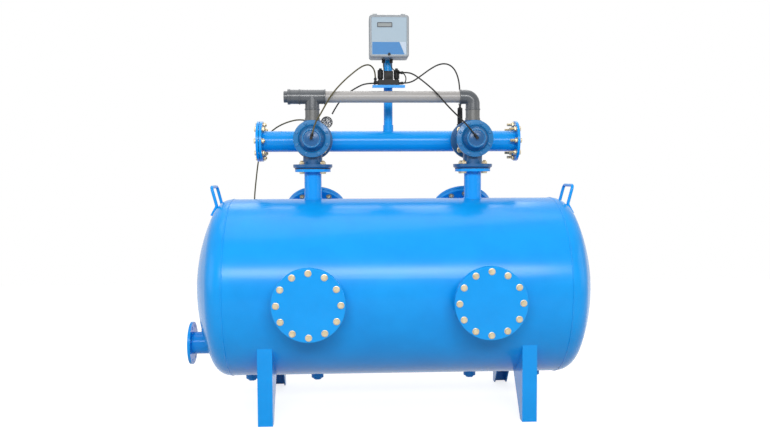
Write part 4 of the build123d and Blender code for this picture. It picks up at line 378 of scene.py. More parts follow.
glass = bpy.data.materials.new("gauge_glass")
glass.use_nodes = True
tree = glass.node_tree
clear = tree.nodes["Principled BSDF"]
clear.inputs["Transmission Weight"].default_value = 1.0
clear.inputs["IOR"].default_value = GLASS_BEND
smear = add_node(tree, "ShaderNodeTexNoise", Scale=SMEAR_SCALE, Detail=2.0)
smudge = add_node(tree, "ShaderNodeMapRange")
smudge.inputs["To Min"].default_value = CLEANEST
smudge.inputs["To Max"].default_value = DULLEST
tree.links.new(smear.outputs["Fac"], smudge.inputs["Value"])
tree.links.new(smudge.outputs[0], clear.inputs["Roughness"])
finishes["gauge_glass"] = glass

for part in frame["record"]["subparts"]:
    mesh = nodes[part["node"]].data
    mesh.materials.clear()
    mesh.materials.append(finishes[OWN_FINISH.get(part["node"], part["material_slot"])])
print("finishes:", len(finishes))

# %% [markdown]
# ## Control tubes and cables
# The tubes carry water pressure between the manifold, the pilots and the valves' bonnets. They
# are 8 mm polyethylene, stiff enough to hold a wide arch. In a workshop they are simply cut and
# pushed in. The two cables are thinner and limp. Each line follows the same points as its
# solid, here as the control points of a smooth curve, which bends without corners.
# One tube is open at its end: it lets a pilot's drain water fall clear of the tank.

# %% Routes of the tubes and cables
TUBE, CABLE = 0.008, 0.006
ROUTES = {
    "left_valve_tube": (TUBE, 0.699, "olive_tube", "object", "stiff", "loose", [
        (-0.3877, -0.1267, 1.4123), (-0.3751, -0.1267, 1.4628), (-0.3511, -0.0927, 1.5050),
        (-0.3231, -0.0607, 1.5600), (-0.2931, -0.0307, 1.6140), (-0.2571, 0.0113, 1.6630),
        (-0.2171, 0.0653, 1.7090), (-0.1801, 0.1133, 1.7460), (-0.1471, 0.1493, 1.7760),
        (-0.1171, 0.1773, 1.7960), (-0.0901, 0.1993, 1.8010), (-0.0701, 0.2163, 1.7880),
        (-0.0581, 0.2272, 1.7600), (-0.0581, 0.2272, 1.7320)]),
    "right_valve_tube": (TUBE, 0.624, "black_tube", "object", "stiff", "loose", [
        (0.4313, -0.1267, 1.4082), (0.4001, -0.1267, 1.4474), (0.3659, -0.1027, 1.4870),
        (0.3289, -0.0767, 1.5270), (0.2919, -0.0507, 1.5710), (0.2519, -0.0247, 1.6250),
        (0.2119, 0.0453, 1.6750), (0.1779, 0.1153, 1.7150), (0.1529, 0.1593, 1.7410),
        (0.1223, 0.1950, 1.7602), (0.0919, 0.2102, 1.7602)]),
    "supply_tube": (TUBE, 0.524, "black_tube", "object", "stiff", "loose", [
        (0.0939, 0.2272, 1.7060), (0.1339, 0.2272, 1.7060), (0.1879, 0.2373, 1.7430),
        (0.2439, 0.2473, 1.7850), (0.2959, 0.2563, 1.8140), (0.3439, 0.2643, 1.8170),
        (0.3819, 0.2703, 1.7910), (0.4059, 0.2743, 1.7370), (0.4139, 0.2753, 1.6622),
        (0.4139, 0.2753, 1.6002)]),
    "drain_tube": (TUBE, 0.300, "black_tube", "bare", "stiff", "hanging", [
        (-0.0661, 0.2142, 1.7030), (-0.1121, 0.2142, 1.7030), (-0.1601, 0.2083, 1.6800),
        (-0.2001, 0.2023, 1.6540), (-0.2391, 0.1963, 1.6200), (-0.2701, 0.1923, 1.5790),
        (-0.2941, 0.1893, 1.5350)]),
    "sensing_tube": (TUBE, 1.017, "olive_tube", "object", "stiff", "loose", [
        (-0.3776, 0.2299, 1.4704), (-0.4076, 0.2299, 1.4968), (-0.4741, 0.2373, 1.5110),
        (-0.5441, 0.2653, 1.4970), (-0.6141, 0.3213, 1.4690), (-0.6741, 0.3913, 1.4210),
        (-0.7091, 0.4353, 1.3560), (-0.7271, 0.4563, 1.2810), (-0.7421, 0.4733, 1.1780),
        (-0.7541, 0.4833, 1.0800), (-0.7591, 0.4773, 0.9115), (-0.7591, 0.4773, 0.8115)]),
    "left_pilot_cable": (CABLE, 0.042, "black_tube", "object", "limp", "loose", [
        (-0.0141, 0.2092, 1.8120), (-0.0141, 0.2092, 1.7980), (-0.0111, 0.2153, 1.7850),
        (-0.0111, 0.2153, 1.7710)]),
    "right_pilot_cable": (CABLE, 0.189, "black_tube", "object", "limp", "loose", [
        (0.0279, 0.2092, 1.8120), (0.0279, 0.2092, 1.7940), (0.0359, 0.2053, 1.7770),
        (0.0539, 0.1993, 1.7670), (0.0759, 0.1943, 1.7630), (0.0949, 0.1913, 1.7540),
        (0.1059, 0.1923, 1.7370), (0.1079, 0.1963, 1.7190), (0.1009, 0.2043, 1.7040),
        (0.0869, 0.2132, 1.6990), (0.0719, 0.2132, 1.6990)]),
}
print("longest line", max(route[1] for route in ROUTES.values()), "m")

# %% Smooth tubes and cables
BEVEL_STEPS, CURVE_STEPS, CURVE_ORDER = 5, 16, 3


def register(piece, body, replaced=()):
    """Link a piece, let it ride on its body unless that is None, and hide the frame's pieces it
    replaces.
    """
    bpy.context.scene.collection.objects.link(piece)
    if body:
        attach(piece, body)
    if replaced:
        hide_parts(*replaced)
    return piece


for name, (width, length, slot, end, stiffness, lay, points) in ROUTES.items():
    curve = bpy.data.curves.new(name, "CURVE")
    curve.dimensions = "3D"
    curve.bevel_depth = width / 2
    curve.bevel_resolution = BEVEL_STEPS
    curve.resolution_u = CURVE_STEPS
    curve.use_fill_caps = True
    spline = curve.splines.new("NURBS")
    spline.points.add(len(points) - 1)
    for place, point in zip(spline.points, points):
        place.co = (*point, 1)
    spline.order_u = CURVE_ORDER
    spline.use_endpoint_u = True
    curve.materials.append(finishes[slot])
    tube = bpy.data.objects.new("smooth_" + name, curve)
    register(tube, "filter", [name])
print("tubes and cables:", len(ROUTES))

# %% [markdown]
# ## Turned pieces
# Much of the filter is round: bonnets, fittings, collars, washers. A turned piece is drawn as
# half of its outline, as pairs of a distance along its axis and a radius, and spun round. A
# screw modifier could do the same for one object. These helpers can add any number of turned
# shapes to one mesh, each with its own place and direction, and a function can bend the radius.

# %% Spin an outline
RING_SIDES = 64
SHARP_ANGLE = math.radians(32)


def aimed(origin, direction):
    """A place whose Z axis points along a direction."""
    turn = Vector(direction).to_track_quat("Z", "Y")
    return Matrix.Translation(Vector(origin)) @ turn.to_matrix().to_4x4()


def scaled(outline, along_unit=MM, radius_unit=MM):
    """An outline in metres, from one in millimetres or in shares of a length and a radius."""
    return [(along * along_unit, radius * radius_unit) for along, radius in outline]


def skin(bm, rings, closed=False):
    """Join each ring of points with the next, and the last with the first if closed."""
    around = len(rings[0])
    for low, high in zip(rings, rings[1:] + rings[:1] if closed else rings[1:]):
        for step in range(around):
            after = (step + 1) % around
            bm.faces.new((low[step], low[after], high[after], high[step]))


def turned_rings(bm, place, outline, around, shape=None):
    """A ring of points for each pair of an outline."""
    rings = []
    for along, radius in outline:
        ring = []
        for step in range(around):
            angle = 2 * math.pi * step / around
            reach = shape(angle, along, radius) if shape else radius
            spot = Vector((reach * math.cos(angle), reach * math.sin(angle), along))
            ring.append(bm.verts.new(place @ spot))
        rings.append(ring)
    return rings


def spin(bm, place, outline, around, shape=None):
    """Add an outline spun round the Z axis of a place, with a face at each end."""
    rings = turned_rings(bm, place, outline, around, shape)
    skin(bm, rings)
    bm.faces.new(list(reversed(rings[0])))
    bm.faces.new(rings[-1])


def ring_spin(bm, place, outline, around=RING_SIDES):
    """Add an outline that closes on itself, spun round, so that it leaves a hole."""
    skin(bm, turned_rings(bm, place, outline, around), closed=True)


def solid(name, bm, body, slot, replaced=(), finish_name=None):
    """Turn a finished bmesh into a piece, with the slot's own finish unless one is named."""
    mesh = bpy.data.meshes.new(name)
    bmesh.ops.recalc_face_normals(bm, faces=bm.faces)
    bm.to_mesh(mesh)
    bm.free()
    mesh.shade_smooth()
    mesh.set_sharp_from_angle(angle=SHARP_ANGLE)
    mesh.materials.append(finishes[finish_name or slot])
    return register(bpy.data.objects.new(name, mesh), body, replaced)


print("edges sharper than", round(math.degrees(SHARP_ANGLE)), "degrees stay sharp")

# %% [markdown]
# ## Bolts, nuts and washers
# Ninety-six hexagon bolts and screws hold the flanges. A real one is forged: its head is a
# hexagon whose corners are turned away on top, over a thin round washer, and its thread is
# rolled. The frame holds each as a plain hexagon on a bar. This cell measures each plain bolt
# in the frame, so that a detailed one fits in its place wherever the model puts it.

# %% Measure the plain bolts
PLAIN_BOLTS = ("port_bolts", "valve_bolts", "manifold_end_bolts", "bonnet_bolts")
SAME_PLACE, DECIMALS = 0.00002, 5
OUTER_SHARE = 0.9
TILT = math.radians(46)
FILL_OUT = Vector((0, math.sin(TILT), math.cos(TILT)))
DIRECTIONS = [Vector((1, 0, 0)), Vector((0, 1, 0)), Vector((0, 0, 1)), FILL_OUT]


def islands(node):
    """The separate solids of a node, as lists of points."""
    bm = bmesh.new()
    bm.from_mesh(nodes[node].data)
    bmesh.ops.remove_doubles(bm, verts=bm.verts, dist=SAME_PLACE)
    groups, seen = [], set()
    for first in bm.verts:
        if first.index in seen:
            continue
        stack, group = [first], []
        seen.add(first.index)
        while stack:
            vert = stack.pop()
            group.append(vert.co.copy())
            for edge in vert.link_edges:
                other = edge.other_vert(vert)
                if other.index not in seen:
                    seen.add(other.index)
                    stack.append(other)
        groups.append(group)
    bm.free()
    return groups


def long_axis(points, guesses):
    """The direction that a bolt's points spread least across, with their middle and reach."""
    centre = sum(points, Vector()) / len(points)

    def across(direction):
        return max(((p - centre) - direction * (p - centre).dot(direction)).length for p in points)

    best = min(guesses, key=across)
    return centre, best, across(best)


def measured(node):
    """Each bolt of a node: its axis, and where its head and nut begin and end along it."""
    bolts = []
    for points in islands(node):
        centre, direction, reach = long_axis(points, DIRECTIONS)
        along = [(p - centre).dot(direction) for p in points]
        wide = sorted({round(a, DECIMALS) for a, p in zip(along, points)
                       if ((p - centre) - direction * a).length > OUTER_SHARE * reach})
        bolts.append((centre, direction, reach, min(along), max(along), wide))
    return bolts


plain = {node: measured(node) for node in PLAIN_BOLTS}
print({node: len(bolts) for node, bolts in plain.items()})

# %% [markdown]
# A hexagon is a turned piece too, if the radius follows six flat sides, and so is a thread, if
# the radius follows a helix. So both use the same helper as the round pieces, and a bolt is only
# a few spun outlines. Every washer and corner is a share of the head's reach, which is the
# distance from the bolt's axis to a corner, so small screws and large bolts look alike.

# %% Hexagons, washers and threads
THREAD_PITCH, THREAD_DEPTH = 2.0 * MM, 0.9 * MM
STEPS_PER_TURN, THREAD_SIDES = 4, 16
THREAD_TIP = 0.9
HEXAGON_SIDES, CORNER_SHARE, TOP_SHARE = 24, 0.14, 0.96
WASHER_SIDES = 32
WASHER_EDGE, WASHER_TOP, WASHER_HOLE = 1.14, 1.08, 0.8
WASHER_FLAT = 0.8


def add_hexagon(bm, place, low, high, reach):
    """A hexagon between two heights, with its corners turned away at both ends."""
    flat = reach * math.cos(math.pi / 6)
    edge = CORNER_SHARE * (high - low)

    def six(angle, along, radius):
        corner = flat / math.cos((angle + math.pi / 6) % (math.pi / 3) - math.pi / 6)
        return min(corner, radius)

    outline = [(low, flat), (low + edge, reach), (high - edge, reach), (high, flat * TOP_SHARE)]
    spin(bm, place, outline, HEXAGON_SIDES, six)


def add_thread(bm, place, low, high, radius):
    """A rolled thread: the radius follows a helix of the bolt's pitch."""
    steps = max(2, round((high - low) / THREAD_PITCH * STEPS_PER_TURN))

    def helix(angle, along, wide):
        wave = 0.5 + 0.5 * math.cos(2 * math.pi * along / THREAD_PITCH - angle)
        return wide - THREAD_DEPTH * wave

    outline = [(low + (high - low) * step / steps, radius) for step in range(steps + 1)]
    outline[-1] = (high, radius * THREAD_TIP)
    spin(bm, place, outline, THREAD_SIDES, helix)


def add_washer(bm, place, seat, thickness, reach):
    """A washer from its seat upwards, or downwards if its thickness is negative."""
    far = seat + thickness
    outline = [(seat, reach * WASHER_EDGE), (seat + thickness * WASHER_FLAT, reach * WASHER_EDGE),
               (far, reach * WASHER_TOP), (far, reach * WASHER_HOLE)]
    spin(bm, place, outline, WASHER_SIDES)


print("thread pitch", THREAD_PITCH / MM, "mm")

# %% Put detailed bolts in their places
WASHER, WASHER_REACH = 2.2 * MM, 0.0139
SHANK, SHANK_SIDES = 8 * MM, 12
AT_END, INTO_NUT = 1 * MM, 1 * MM


def add_bolt(bm, bolt):
    """One detailed bolt from the measures of a plain one, with a nut where that has one."""
    centre, direction, reach, low, high, wide = bolt
    if abs(wide[0] - low) > AT_END:
        direction, low, high = -direction, -high, -low
        wide = sorted(-value for value in wide)
    place = aimed(centre, -direction)
    top, seat = -low, -wide[1]
    washer = WASHER * reach / WASHER_REACH
    add_hexagon(bm, place, seat + washer * WASHER_FLAT, top, reach)
    add_washer(bm, place, seat, washer, reach)
    if len(wide) > 2:
        back, nut_end = -wide[2], -wide[3]
        far_side = aimed(centre, direction)
        add_washer(bm, place, back, -washer, reach)
        add_hexagon(bm, far_side, -back + washer, -nut_end, reach)
        spin(bm, place, [(back - washer, SHANK), (seat + washer, SHANK)], SHANK_SIDES)
        add_thread(bm, far_side, -nut_end - INTO_NUT, high, SHANK)


for node, bolts in plain.items():
    bm = bmesh.new()
    for bolt in bolts:
        add_bolt(bm, bolt)
    # The bonnet screws take the same lighter blue as the bonnet rings: painted light, not a paint
    # of their own.
    painted = "bonnet_paint" if node == "bonnet_bolts" else None
    slot = "valve_casting" if painted else "zinc_bolts"
    solid(node.replace("_bolts", "_hexagon_bolts"), bm, "filter", slot, [node], painted)
print("bolts:", sum(len(bolts) for bolts in plain.values()))

# %% [markdown]
# ## Weld beads
# The necks and the risers are cut from pipe, shaped to the tank's round wall and welded on with
# a fillet weld. A good weld is a row of small overlapping ripples. The bead here follows the
# true curve in which a pipe meets a drum: for each point round the pipe, the helper finds where
# a line along the pipe reaches the tank's wall. The paint covers the welds as well.

# %% Beads where pipes meet the tank
BEAD_RADIUS, BEAD_SIDES = 5.0 * MM, 8
RIPPLE, RIPPLE_SHARE = 7.0 * MM, 0.10
NECK_RADIUS, NECK_STEPS = 109.5 * MM, 300
RISER_RADIUS, RISER_STEPS = 44.45 * MM, 130
HAND_HOLE_Z = middle("front_port_covers").z


def saddle(origin, direction, radius, count):
    """The loop of points in which a pipe's wall meets the tank's round shell."""
    across = Vector((1, 0, 0))
    other = direction.cross(across)
    points = []
    for step in range(count):
        angle = 2 * math.pi * step / count
        spot = origin + across * radius * math.cos(angle) + other * radius * math.sin(angle)
        flat = Vector((0, spot.y - TANK_AXIS.y, spot.z - TANK_AXIS.z))
        along = flat.dot(direction)
        run = -along + math.sqrt(along ** 2 - flat.length_squared + TANK_RADIUS ** 2)
        points.append(spot + direction * run)
    return points


def add_bead(bm, points):
    """A closed bead with ripples along a loop of points."""
    rings, travelled = [], 0.0
    count = len(points)
    for step, point in enumerate(points):
        after = points[(step + 1) % count]
        turn = (after - points[step - 1]).to_track_quat("Z", "Y").to_matrix()
        wave = RIPPLE_SHARE * math.sin(2 * math.pi * travelled / RIPPLE)
        swell = BEAD_RADIUS * (1 + wave)
        ring = []
        for side in range(BEAD_SIDES):
            angle = 2 * math.pi * side / BEAD_SIDES
            offset = Vector((math.cos(angle), math.sin(angle), 0)) * swell
            ring.append(bm.verts.new(point + turn @ offset))
        rings.append(ring)
        travelled += (after - point).length
    skin(bm, rings, closed=True)


beads = []
for x in (LEFT_X, RIGHT_X):
    axis = Vector((x, TANK_AXIS.y, TANK_AXIS.z))
    hand_hole = Vector((x, TANK_AXIS.y, HAND_HOLE_Z))
    beads.append(saddle(hand_hole, Vector((0, -1, 0)), NECK_RADIUS, NECK_STEPS))
    beads.append(saddle(axis, FILL_OUT, NECK_RADIUS, NECK_STEPS))
    beads.append(saddle(axis, Vector((0, 0, 1)), RISER_RADIUS, RISER_STEPS))
bm = bmesh.new()
for bead in beads:
    add_bead(bm, bead)
solid("neck_welds", bm, "filter", "tank_paint")
print("beads:", len(beads))

# %% [markdown]
# ## Valve bonnets
# A bonnet closes the front of each valve and holds the diaphragm's rim. It is cast iron, turned
# only where it seals, so its outside keeps soft edges. From the rim inwards it has a flat ring
# for eight screws, a thin lip, a steep cone, a rounded nose and a low dome with the tapping.
# It is hollow, because the spring and the stem move inside it. The rings are a piece of their
# own, so that they can have a lighter paint than the cone. That lighter blue is painted light on
# the flat ring and a painted highlight on the nose ring, and the steep cone keeps the darker
# casting blue as painted shade.

# %% Cast bonnets
CAST_SIDES = 96
BONNET_RING = [(0.5, 66), (0.5, 94), (1, 95), (9, 95), (11.2, 94.2), (12, 92.4), (12, 74),
               (12.6, 73), (14.2, 72.4), (14.8, 71.2), (14.2, 69.8), (13.4, 69), (12, 66)]
BONNET_CONE = [(47, 0.5), (47, 32), (44, 38), (12, 58), (1, 62), (0.2, 63), (0.2, 67), (13.0, 67),
               (15, 66.6), (24, 64), (38, 58), (50, 52.4), (54.6, 50), (57, 47), (57, 40),
               (56.6, 38), (56.8, 35.6), (58.2, 31), (59.6, 25), (60.6, 18.4), (61, 15.6),
               (62.2, 15), (63, 13.6), (63, 0.5)]
NOSE_RING = [(54.4, 49.8), (57.8, 48.4), (59.6, 46), (60, 43.6), (59.4, 41.2), (57.6, 39.4),
             (56.2, 38.4)]

for side, valve in VALVES.items():
    node = side + "_bonnet"
    place = aimed((valve.x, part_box(node)[1].y, valve.z), (0, -1, 0))
    bm = bmesh.new()
    spin(bm, place, scaled(BONNET_CONE), CAST_SIDES)
    # The steep cone keeps the darker casting blue as painted shade.
    solid("cast_" + node, bm, "filter", "valve_casting", [node])
    bm = bmesh.new()
    for outline in (BONNET_RING, NOSE_RING):
        ring_spin(bm, place, scaled(outline), CAST_SIDES)
    # The rings take the lighter blue: painted light on the flat ring, a painted highlight on the
    # nose ring.
    solid(node + "_rings", bm, "filter", "valve_casting", finish_name="bonnet_paint")
print("bonnets:", len(VALVES))

# %% [markdown]
# ## Springs and diaphragms
# Behind each bonnet a spring pushes the stem back, and a rubber diaphragm moves it. Neither is
# seen in the photograph. In the valve both follow the stem, with one end on the casting and the
# other on the plunger; here each is drawn once, between the two. The spring is wound from wire,
# with its end turns closed up.

# %% Wire for the springs
TURNS, TURN_STEPS, WIRE_SIDES = 4, 32, 8
WIRE = 2.2 * MM


def add_wire(bm, start, end, radius):
    """Wire wound round Y, with its first and last half turns closed up."""
    rings, total = [], (TURNS + 1) * TURN_STEPS
    run = end - start
    for step in range(total + 1):
        share = min(1, max(0, (step - TURN_STEPS / 2) / (total - TURN_STEPS)))
        angle = 2 * math.pi * step / TURN_STEPS
        outward = Vector((math.cos(angle), 0, math.sin(angle)))
        centre = start + run * (WIRE / run.length) + outward * radius
        centre += run * share * (1 - 2 * WIRE / run.length)
        ring = []
        for side in range(WIRE_SIDES):
            turn = 2 * math.pi * side / WIRE_SIDES
            ring.append(bm.verts.new(centre + outward * WIRE * math.cos(turn)
                                     + run.normalized() * WIRE * math.sin(turn)))
        rings.append(ring)
    skin(bm, rings)
    bm.faces.new(rings[0])
    bm.faces.new(rings[-1])


print("turns of each spring:", TURNS)

# %% [markdown]
# The diaphragm is moulded with a rolling fold, which gives it the travel without stretching.
# Its outline is a list of shares: how deep each point lies, and how far out. The same outline,
# moved back by the rubber's thickness and walked the other way, closes the section.

# %% Springs and diaphragms from the casting to the plunger
RUBBER = 3 * MM
FOLD = [(0.00, 1.00), (0.00, 0.72), (0.06, 0.665), (0.22, 0.640), (0.40, 0.600), (0.58, 0.560),
        (0.76, 0.520), (0.90, 0.485), (0.97, 0.465), (1.00, 0.440), (1.00, 0.076)]
FOLD_SIDES = 72


def wound_spring(side, valve):
    """The spring of one valve, from its casting to its plunger."""
    node = side + "_spring"
    low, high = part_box(node)
    front, rear = Vector((valve.x, low.y, valve.z)), Vector((valve.x, high.y, valve.z))
    bm = bmesh.new()
    add_wire(bm, front, rear, (high.z - low.z) / 2 - WIRE)
    spring = solid("wound_" + node, bm, None, "spring_steel", [node])
    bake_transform(spring)


def folded_diaphragm(side, valve):
    """The diaphragm of one valve, from its rim to its plunger."""
    node = side + "_diaphragm"
    low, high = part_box(node)
    there = scaled(FOLD, high.y - low.y - RUBBER, (high.z - low.z) / 2)
    back = [(along + RUBBER, radius) for along, radius in reversed(there)]
    bm = bmesh.new()
    ring_spin(bm, aimed((valve.x, low.y, valve.z), (0, 1, 0)), there + back, FOLD_SIDES)
    sheet = solid("folded_" + node, bm, None, "gasket_rubber", [node])
    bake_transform(sheet)


for side, valve in VALVES.items():
    wound_spring(side, valve)
    folded_diaphragm(side, valve)
print("springs and diaphragms:", 2 * len(VALVES))

# %% [markdown]
# ## Backwash fittings
# The tee and the elbow are injection moulded, and every socket ends in a thicker rim that keeps
# it from splitting. The rim could be part of the fitting's own outline, but as a band of its own
# it is one short outline, used for each mouth. A narrower band goes round each threaded
# adaptor below. The pipe itself is extruded and has no rim.

# %% Moulded rims
SOCKET = 37.0 * MM
RIM_LENGTH, RIM_STAND = 9.0 * MM, 2.6 * MM
RIM_SOFT, RIM_SUNK = 0.35, 0.4 * MM
ADAPTOR, BAND_LENGTH, BAND_STAND, BAND_RISE = 34 * MM, 7 * MM, 3 * MM, 4 * MM


def add_rim(bm, mouth, inwards, radius, length=RIM_LENGTH, stand=RIM_STAND):
    """A rounded band round a socket, from its mouth inwards."""
    soft = stand * RIM_SOFT
    sunk, proud = radius - RIM_SUNK, radius + stand
    outline = [(0, sunk), (0, proud - soft), (soft, proud), (length - 2 * soft, proud),
               (length, sunk)]
    ring_spin(bm, aimed(mouth, inwards), outline)


tee_low, tee_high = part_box("backwash_tee")
elbow_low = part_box("backwash_elbow")[0]
adaptor_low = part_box("valve_adaptors")[0]
LINE_Y, LINE_Z = (tee_low.y + tee_high.y) / 2, tee_high.z - SOCKET
mouths = [((tee_low.x, LINE_Y, LINE_Z), (1, 0, 0)),
          ((tee_high.x, LINE_Y, LINE_Z), (-1, 0, 0)),
          ((LEFT_X, LINE_Y, tee_low.z), (0, 0, 1)),
          ((elbow_low.x, LINE_Y, LINE_Z), (1, 0, 0)),
          ((RIGHT_X, LINE_Y, elbow_low.z), (0, 0, 1))]
bm = bmesh.new()
for mouth, inwards in mouths:
    add_rim(bm, mouth, inwards, SOCKET)
solid("socket_rims", bm, "filter", "dark_pvc")

bm = bmesh.new()
for x in (LEFT_X, RIGHT_X):
    add_rim(bm, (x, LINE_Y, adaptor_low.z + BAND_RISE), (0, 0, 1), ADAPTOR, BAND_LENGTH, BAND_STAND)
solid("adaptor_bands", bm, "filter", "grey_pvc")
print("rims:", len(mouths), "and bands:", len(VALVES))

# %% [markdown]
# ## Controller face
# The controller opens the valves in turn to wash one bed at a time. Its cover is a moulded
# frame with a printed front sheet: a small display in a dark window above, and a blue field
# below with a slanting edge. The sheet is bonded on, so it is a thin plate of its own here,
# inside the frame's raised border. All of the face is made of one kind of shape: a flat
# outline between two depths, with or without a hole.

# %% Plates with round corners
CORNER_STEPS, SOFT_SEGMENTS = 6, 3


def rounded(box, radius, inset=0.0):
    """The points of a rounded rectangle in X and Z, drawn in from a box by an inset."""
    left, bottom, right, top = box
    left, bottom, right, top = left + inset, bottom + inset, right - inset, top - inset
    corners = [((right - radius, top - radius), 0), ((left + radius, top - radius), 90),
               ((left + radius, bottom + radius), 180), ((right - radius, bottom + radius), 270)]
    points = []
    for (x, z), start in corners:
        for step in range(CORNER_STEPS + 1):
            angle = math.radians(start + 90 * step / CORNER_STEPS)
            points.append((x + radius * math.cos(angle), z + radius * math.sin(angle)))
    return points


def add_plate(bm, outline, back, front, hole=None, soften=0.0):
    """A plate with an outline in X and Z, between two depths, with an optional hole."""
    loops = []
    for points in (outline, hole) if hole else (outline,):
        loops.append([[bm.verts.new((x, y, z)) for x, z in points] for y in (back, front)])
    edges = []
    for rear, fore in loops:
        for step in range(len(rear)):
            after = (step + 1) % len(rear)
            bm.faces.new((rear[step], rear[after], fore[after], fore[step]))
            edges.append(bm.edges.get((fore[step], fore[after])))
    if hole:
        for outer, inner in zip(*loops):
            skin(bm, [outer, inner])
    else:
        for layer in loops[0]:
            bm.faces.new(layer)
    if soften:
        bmesh.ops.bevel(bm, geom=edges, offset=soften, segments=SOFT_SEGMENTS, affect="EDGES",
                        profile=0.5, clamp_overlap=True)


print("points round a plate:", 4 * (CORNER_STEPS + 1))

# %% [markdown]
# The pieces of the face are laid out in shares of the cover's width and of its height from the
# top, as they were read from the photograph. The hinge stands above the cover's own top edge,
# so its height is taken off the box first. Depths are millimetres in front of the cover.

# %% Frame, sheet and fields
HINGE_RISE = 10 * MM
FRAME_EDGE, FRAME_BORDER, SHEET_INSET = 0.022, 7 * MM, 7.4 * MM
FRAME_CORNER, HOLE_CORNER, SHEET_CORNER, FRAME_SOFT = 10 * MM, 5 * MM, 4.6 * MM, 0.8 * MM
FRAME_DEPTHS, SHEET_DEPTHS, BLUE_DEPTHS, PALE_DEPTHS = (0, 2.2), (-0.2, 0.8), (0.6, 1.1), (0.6, 1.0)
FIELD_LEFT, FIELD_RIGHT, FIELD_TOP, FIELD_BOTTOM = 0.075, 0.925, 0.64, 0.93
SLANT_TOP, SLANT_BOTTOM, SLANT_GAP = 0.757, 0.885, 2 * MM

face_low, face_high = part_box("controller_cover")
WIDE = face_high.x - face_low.x
TALL = face_high.z - HINGE_RISE - face_low.z


def face_x(share):
    """The X of a share of the cover's width."""
    return face_low.x + share * WIDE


def face_z(share):
    """The Z of a share of the cover's height, from the top."""
    return face_low.z + (1 - share) * TALL


def face_piece(name, outline, depths, finish_name=None, hole=None, soften=0.0):
    """A plate on the cover, between two depths in front of it."""
    bm = bmesh.new()
    back, front = (face_low.y - depth * MM for depth in depths)
    add_plate(bm, outline, back, front, hole, soften)
    solid(name, bm, "cover", "cover_plastic", finish_name=finish_name)


frame_box = face_x(FRAME_EDGE), face_z(1 - FRAME_EDGE), face_x(1 - FRAME_EDGE), face_z(FRAME_EDGE)
face_piece("cover_frame", rounded(frame_box, FRAME_CORNER), FRAME_DEPTHS,
           hole=rounded(frame_box, HOLE_CORNER, FRAME_BORDER), soften=FRAME_SOFT)
face_piece("front_sheet", rounded(frame_box, SHEET_CORNER, SHEET_INSET), SHEET_DEPTHS,
           "sheet_blue_grey")

low_z, high_z = face_z(FIELD_BOTTOM), face_z(FIELD_TOP)
slant_low, slant_high = face_x(SLANT_BOTTOM), face_x(SLANT_TOP)
blue = [(face_x(FIELD_LEFT), high_z), (face_x(FIELD_LEFT), low_z), (slant_low, low_z),
        (slant_high, high_z)]
pale = [(slant_high + SLANT_GAP, high_z), (slant_low + SLANT_GAP, low_z),
        (face_x(FIELD_RIGHT), low_z), (face_x(FIELD_RIGHT), high_z)]
face_piece("blue_field", blue, BLUE_DEPTHS, "field_blue")
face_piece("pale_field", pale, PALE_DEPTHS, "field_pale")
print("controller face:", round(WIDE, 3), "by", round(TALL, 3), "m")

# %% Window and display
WINDOW_LEFT, WINDOW_RIGHT, WINDOW_TOP, WINDOW_BOTTOM = 0.20, 0.58, 0.178, 0.292
WINDOW_EDGE, WINDOW_CORNER, GLASS_CORNER, WINDOW_SOFT = 4 * MM, 3 * MM, 1.5 * MM, 0.6 * MM
WINDOW_DEPTHS, DISPLAY_DEPTHS = (0.6, 3.0), (0.6, 1.6)

window_box = face_x(WINDOW_LEFT), face_z(WINDOW_BOTTOM), face_x(WINDOW_RIGHT), face_z(WINDOW_TOP)
opening = rounded(window_box, GLASS_CORNER, WINDOW_EDGE)
face_piece("window_frame", rounded(window_box, WINDOW_CORNER), WINDOW_DEPTHS, "window_dark",
           hole=opening, soften=WINDOW_SOFT)
face_piece("display_glass", opening, DISPLAY_DEPTHS, "display_grey")
print("window:", round(window_box[2] - window_box[0], 3), "m wide")

# %% [markdown]
# ## Pilots and push-in fittings
# Each pilot is a small electric valve: a ribbed coil on a narrower foot, with a cap on top that
# can be pushed by hand. It is round, so it is spun like the bonnets, and a loop adds its ribs to
# the outline. A tube is held in its fitting by a collet, a thin ring that must be pressed in to
# let the tube go. The collets sit where the routes above start and end. The housing between
# the pilots has a lid with four small screws.

# %% Ribbed pilots
COIL_RIBS, FIRST_RIB, RIB_PITCH = 5, 0.16, 0.126
PILOT_FOOT = [(0, 0.7), (0.11, 0.7), (0.12, 0.88), (0.14, 0.97)]
PILOT_RIB = [(0, 1.0), (0.075, 1.0), (0.085, 0.9), (0.115, 0.9)]
PILOT_CAP = [(0.80, 1.0), (0.84, 0.97), (0.86, 0.86), (0.862, 0.5), (0.98, 0.5), (1.0, 0.42),
             (1.0, 0.05)]
PILOT_SIDES = 48

pilot_low, pilot_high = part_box("solenoid_pilots")
pilot_radius = extent("solenoid_pilots").y / 2
pilot_y = middle("solenoid_pilots").y
outline = list(PILOT_FOOT)
for rib in range(COIL_RIBS):
    outline += [(FIRST_RIB + rib * RIB_PITCH + along, radius) for along, radius in PILOT_RIB]
outline = scaled(outline + PILOT_CAP, pilot_high.z - pilot_low.z, pilot_radius)
bm = bmesh.new()
for x in (pilot_low.x + pilot_radius, pilot_high.x - pilot_radius):
    spin(bm, aimed((x, pilot_y, pilot_low.z), (0, 0, 1)), outline, PILOT_SIDES)
solid("ribbed_pilots", bm, "filter", "black_plastic", ["solenoid_pilots"])
print("ribs on each pilot:", COIL_RIBS)

# %% Collets
COLLET = [(-9, 7.6), (-8.4, 8.2), (-3.4, 8.2), (-2.6, 7.5), (-0.2, 7.5), (0, 6.8), (1.6, 6.8),
          (2.2, 6.2), (2.2, 4.1), (-9, 4.1)]
COLLET_SIDES = 32

